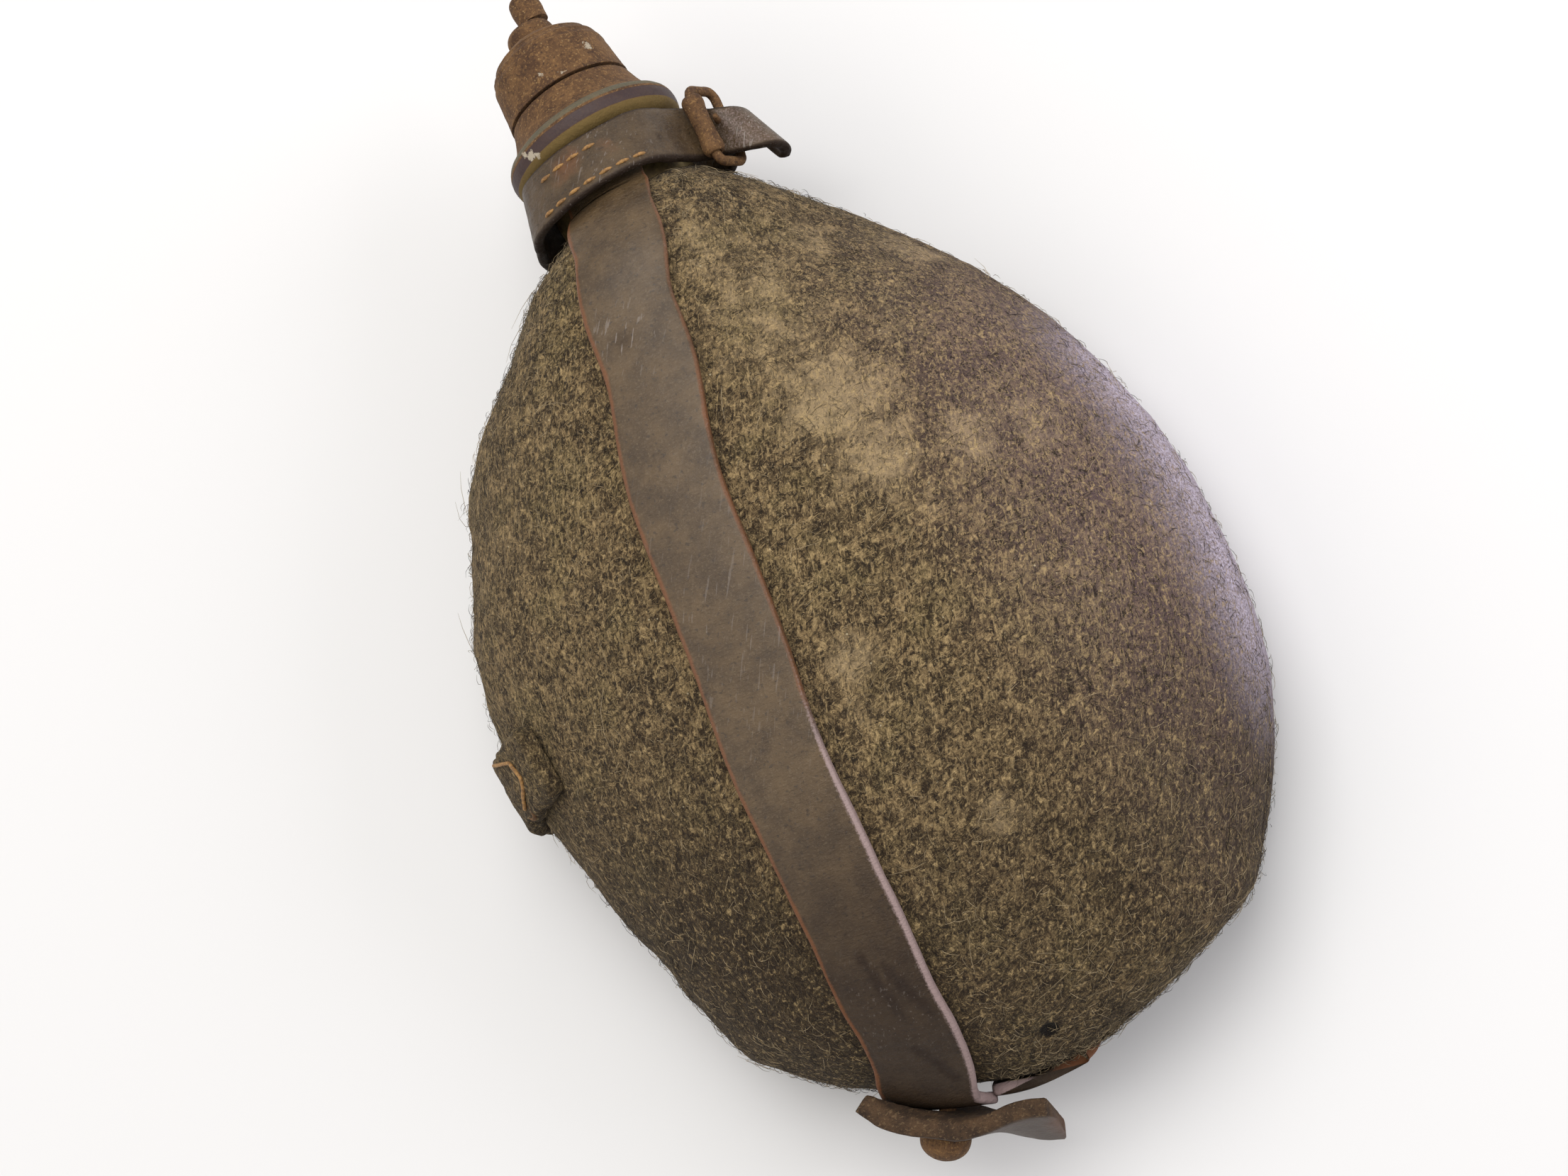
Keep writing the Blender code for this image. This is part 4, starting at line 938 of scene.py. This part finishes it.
roller = lathe("buckle_roller_tube", ROLLER, rust, base=(ROLLER_AT[0], BUCKLE_Y, ROLLER_AT[1]),
               axis=LEAN, smooth_to=7, fine=50, around=48, wobble=0.04)
placed(roller, "roller", "buckle_roller")
eye = arc(PIVOT_AT, WIRE + 1.05, -110.0, 110.0, 22)
shank = curve_through([eye[-1], (37.1, 40.9), (37.2, 43.2), (37.45, 45.4), (37.7, 46.8)],
                      np.linspace(0.0, 1.0, 26))[1:]
prong_path = np.concatenate([eye, shank])
prong_path = np.stack([prong_path[:, 0], np.full(len(prong_path), BUCKLE_Y), prong_path[:, 1]], axis=1)
taper = PRONG_WIRE - 0.12 * ramp(np.arange(len(prong_path)), len(prong_path) - 8, len(prong_path) - 1)
prong = tube_piece("buckle_tongue_wire", prong_path, taper, rust, sides=12)
placed(prong, "prong", "buckle_prong")

# ---------------------------------------------------------------------------
# Bottom tab and stud. A thick tab of rough leather with fibrous edges folds round the foot over
# the end of the front strap, and a domed rusty stud holds both.
felt_tree = kdtree.KDTree(180 * 200)
tree_along, tree_around = (g.ravel() for g in np.meshgrid(np.linspace(0.6, POLE, 180),
                                                          np.arange(200) / 200.0))
felt_spots, felt_outs = felt_point(tree_along, tree_around), felt_normal(tree_along, tree_around)
for number, point in enumerate(felt_spots):
    felt_tree.insert(point, number)
felt_tree.balance()


def clear_of_felt(points, room):
    """Points moved out along the nearest felt normal until they stand this far off the felt."""
    flat = points.reshape(-1, 3)
    nearest = np.array([felt_tree.find(point)[1] for point in flat])
    depth = room - np.sum((flat - felt_spots[nearest]) * felt_outs[nearest], axis=1)
    return (flat + felt_outs[nearest] * np.maximum(depth, 0.0)[:, None]).reshape(points.shape)


def paint_rough_leather(shade):
    """Thick rough leather: brown fibrous flesh, a smoother grey outer face and a red-brown end."""
    broad = shade.cloud(4.0, 4.0, 0.6)
    fine = shade.cloud(0.5, 4.0, 0.7)
    fibre = shade.cloud(0.55, 2.0, 0.6, (1.0, 1.0, 0.25), (0, 20, 0), 0.6)
    ground = broad.ease(0.32, 0.68).blend((0.030, 0.016, 0.008), (0.078, 0.042, 0.019))
    ground = (fibre.ease(0.55, 0.68) * 0.6).blend(ground, (0.165, 0.105, 0.052))
    ground = ((1.0 - fine).ease(0.56, 0.68) * 0.7).blend(ground, (0.016, 0.010, 0.006))
    ground = (shade.mark("face") * 0.75).blend(ground, (0.078, 0.058, 0.046))
    ground = (shade.mark("cut") * 0.75).blend(ground, (0.130, 0.052, 0.024))
    return {"Base Color": ground, "Roughness": 0.85 - shade.mark("face") * 0.35,
            "Normal": shade.bump(fine, 0.30, shade.bump(fibre, 0.35))}


rough_leather = finish_of("rough_brown_leather", paint_rough_leather, Specular_IOR_Level=0.35)
TAB, TAB_Z, TAB_HALF, TAB_GAP = 4.0, 30.5, 8.5, 0.45
TAB_ROUTE = ((-38.8, -105.6), (-36.0, -111.6), (-30.4, -119.2), (-23.4, -123.8), (-16.8, -127.0),
             (-11.4, -129.6))
tab_rows = 100
tab_line = curve_through(TAB_ROUTE, np.linspace(0.0, 1.0, tab_rows))
tab_heading = unit(np.gradient(tab_line, axis=0))
tab_out = np.stack([tab_heading[:, 1], -tab_heading[:, 0], np.zeros(tab_rows)], axis=1)
tab_height = TAB_Z + 5.0 * ramp(tab_line[:, 0], -29.0, -41.0)
tab_lean = -1.2 + 4.4 * ramp(tab_line[:, 0], -30.0, -14.0) - 2.6 * ramp(tab_line[:, 0], -30.0, -37.0)
tab_middle = np.column_stack([tab_line, tab_height]) - tab_out * TAB / 2.0
tab_under = (tab_middle[:, None] + shares * np.array([0.0, 0.0, TAB_HALF])
             - shares * (tab_out * tab_lean[:, None])[:, None])
tab_under = clear_of_felt(tab_under, END_LIFT + STRAP + TAB_GAP)


def tab_marks(points):
    """Smooth outer face, and the red-brown cut at the free end."""
    across, height = section(TAB_HALF, TAB, 0.9)
    face = ramp(height, 0.80, 0.99) * ramp(np.abs(across), 0.99, 0.93)
    return {"face": np.broadcast_to(face, points.shape[:2]),
            "cut": ramp(points[..., 1], -128.0, -130.6) * ramp(points[..., 0], -16.0, -10.0)}


tab = strap_piece("foot_tab", tab_under, np.repeat(tab_out[:, None], 21, axis=1), TAB, TAB_HALF,
                  rough_leather, tab_marks, rough=0.16, corner=0.9)
placed(tab, "root", "bottom_tab")
STUD_AT, STUD_AXIS = (-27.5, -113.4, 30.0), (-0.6, -0.8, 0.0)
STUD_HEAD, STUD_HEIGHT = 5.2, 4.2
STUD = [(STUD_HEAD * math.sin(a), 10.6 + STUD_HEIGHT * math.cos(a))
        for a in np.radians((8.0, 25.0, 42.0, 58.0, 74.0, 90.0))]
STUD += [(5.25, 10.0), (4.9, 9.2), (1.8, 9.2), (1.8, 0.4)]
stud = lathe("domed_stud", STUD, rust, base=STUD_AT, axis=STUD_AXIS, smooth_to=7, fine=40, around=72,
             wobble=0.07, ends="fan")
placed(stud, "root", "stud")
washer = lathe("stud_back_washer", ((3.0, 1.0), (3.0, 0.5), (1.95, 0.5), (1.95, 1.0)), brass,
               base=STUD_AT, axis=STUD_AXIS, smooth_to=2, fine=3, around=40, wobble=0.0)
placed(washer, "root", "stud_washer")

# ---------------------------------------------------------------------------
# Felt tab on the left seam, with the thread that sews it down and a bent wire ring at its end.
FLAP, FLAP_HALF, FLAP_ROWS = 4.2, 8.2, 60
FLAP_ROUTE = ((0.427, 0.396), (0.425, 0.435), (0.424, 0.46), (0.424, 0.485), (0.424, 0.505))


def flap_marks(points):
    """Felt marks, with more of the painted shade all over the tab."""
    marks = felt_marks(points)
    marks["dark"] = np.clip(marks["dark"] + 0.35, 0.0, 1.0)
    return marks


flap_under, flap_normal = laid_on_felt(FLAP_ROUTE, FLAP_HALF, FLAP_ROWS, np.full(FLAP_ROWS, CONTACT))
flap = strap_piece("side_felt_tab", flap_under, flap_normal, FLAP, FLAP_HALF, felt_finish, flap_marks,
                   rough=0.45, corner=1.6)
placed(flap, "root", "cover_tab")
RING_AT, RING_LIFT = (0.446, 0.436), 3.9
ring_spot = felt_at(*np.array(RING_AT), RING_LIFT)
ring_up = felt_normal(*np.array(RING_AT))
ring_side = unit(np.cross(ring_up, (0.0, 1.0, 0.0)))
ring_other = np.cross(ring_up, ring_side)
RING_RADIUS, RING_WIRE = 2.1, 0.55
ring_path = ring_spot + RING_RADIUS * rings(40, ring_side, ring_other)
hook = tube_piece("side_wire_ring", ring_path, RING_WIRE, rust, sides=12, closed=True)
placed(hook, "root", "cover_hook")
THREAD_ROUTE = np.array([(0.400, 0.446), (0.412, 0.418), (0.430, 0.414), (0.446, 0.436)])
share = np.linspace(0.0, 1.0, 14)[:, None]
thread_line = np.concatenate([start + (end - start) * share
                              for start, end in zip(THREAD_ROUTE[:-1], THREAD_ROUTE[1:])])
thread_line = felt_at(thread_line[:, 0], thread_line[:, 1], np.full(len(thread_line), 4.9))
side_thread = tube_piece("side_tab_thread", curve_through(thread_line[::5], np.linspace(0.0, 1.0, 60)),
                         THREAD_RADIUS, thread, sides=8)
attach(side_thread, "root")

# ---------------------------------------------------------------------------
# Loose wool. Thousands of short fibres stand off the felt, charcoal and tan, with a few long
# pale hairs lying over it.
def fibres(name, cover, count, seed, least, most, thick, lift, tones):
    """Closed three-sided fibres on random points of a cover: each starts in the felt, runs along
    it in a random direction and bends, as one mesh."""
    random = np.random.default_rng(seed)
    mesh = cover.data
    places = np.empty(len(mesh.vertices) * 3)
    mesh.vertices.foreach_get("co", places)
    outs = np.empty(len(mesh.vertices) * 3)
    mesh.vertices.foreach_get("normal", outs)
    places, outs = places.reshape(-1, 3) / MM, outs.reshape(-1, 3)
    free = np.array([pressed.find(point)[2] for point in places]) > 3.0
    free &= (places[:, 1] < 72.0) & (places[:, 2] > 1.2)
    pick = random.choice(np.flatnonzero(free), count)
    root, out = places[pick] + random.normal(0.0, 0.3, (count, 3)), outs[pick]
    heading = random.normal(0.0, 1.0, (count, 3))
    heading = unit(heading - out * np.sum(heading * out, axis=1, keepdims=True))
    sideways = np.cross(out, heading)
    length = random.uniform(least, most, count)[:, None]
    bend = random.normal(0.0, 0.55, count)[:, None]
    rise = random.uniform(0.2, 1.0, count)[:, None] * lift
    steps = np.array([0.0, 0.33, 0.67, 1.0])
    path = (root[:, None] + heading[:, None] * (length * steps)[..., None]
            + sideways[:, None] * (length * bend * steps**2)[..., None]
            + out[:, None] * (rise * np.sin(steps * 2.6) - 0.15)[..., None])
    size = thick * np.array([0.8, 1.0, 0.8, 0.35])
    around = rings(3, sideways, out)[:, None]
    verts = (path[:, :, None] + around * size[None, :, None, None]).reshape(-1, 3)
    verts[:, 2] = np.maximum(verts[:, 2], 0.05)
    pattern = []
    for row, k in np.ndindex(3, 3):
        a, b = row * 3 + k, row * 3 + (k + 1) % 3
        pattern += [(a, b, b + 3), (a, b + 3, a + 3)]
    pattern += [(2, 1, 0), (9, 10, 11)]
    faces = (np.array(pattern)[None] + 12 * np.arange(count)[:, None, None]).reshape(-1, 3)
    made = bpy.data.meshes.new(name)
    made.from_pydata(verts * MM, [], faces.tolist())
    tone = np.repeat(random.choice(tones, count), 12)
    made.attributes.new("tone", "FLOAT", "POINT").data.foreach_set("value", tone)
    made.materials.append(fibre)
    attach(added(name, made), "root")


def paint_fibre(shade):
    """Charcoal to tan by each fibre's own tone."""
    return {"Base Color": shade.mark("tone").blend((0.016, 0.012, 0.009), (0.300, 0.232, 0.140))}


fibre = finish_of("wool_fibre", paint_fibre, Roughness=0.9, Specular_IOR_Level=0.15)
TONES = (0.0, 0.0, 0.15, 0.4, 0.7, 1.0)
fibres("front_wool_fuzz", cover_front, 9000, 5, 1.2, 3.8, 0.055, 0.8, TONES)
fibres("back_wool_fuzz", cover_back, 4000, 6, 1.2, 3.4, 0.055, 0.7, TONES)
fibres("long_pale_hairs", cover_front, 60, 8, 6.0, 13.0, 0.06, 1.1, (0.9, 1.0))
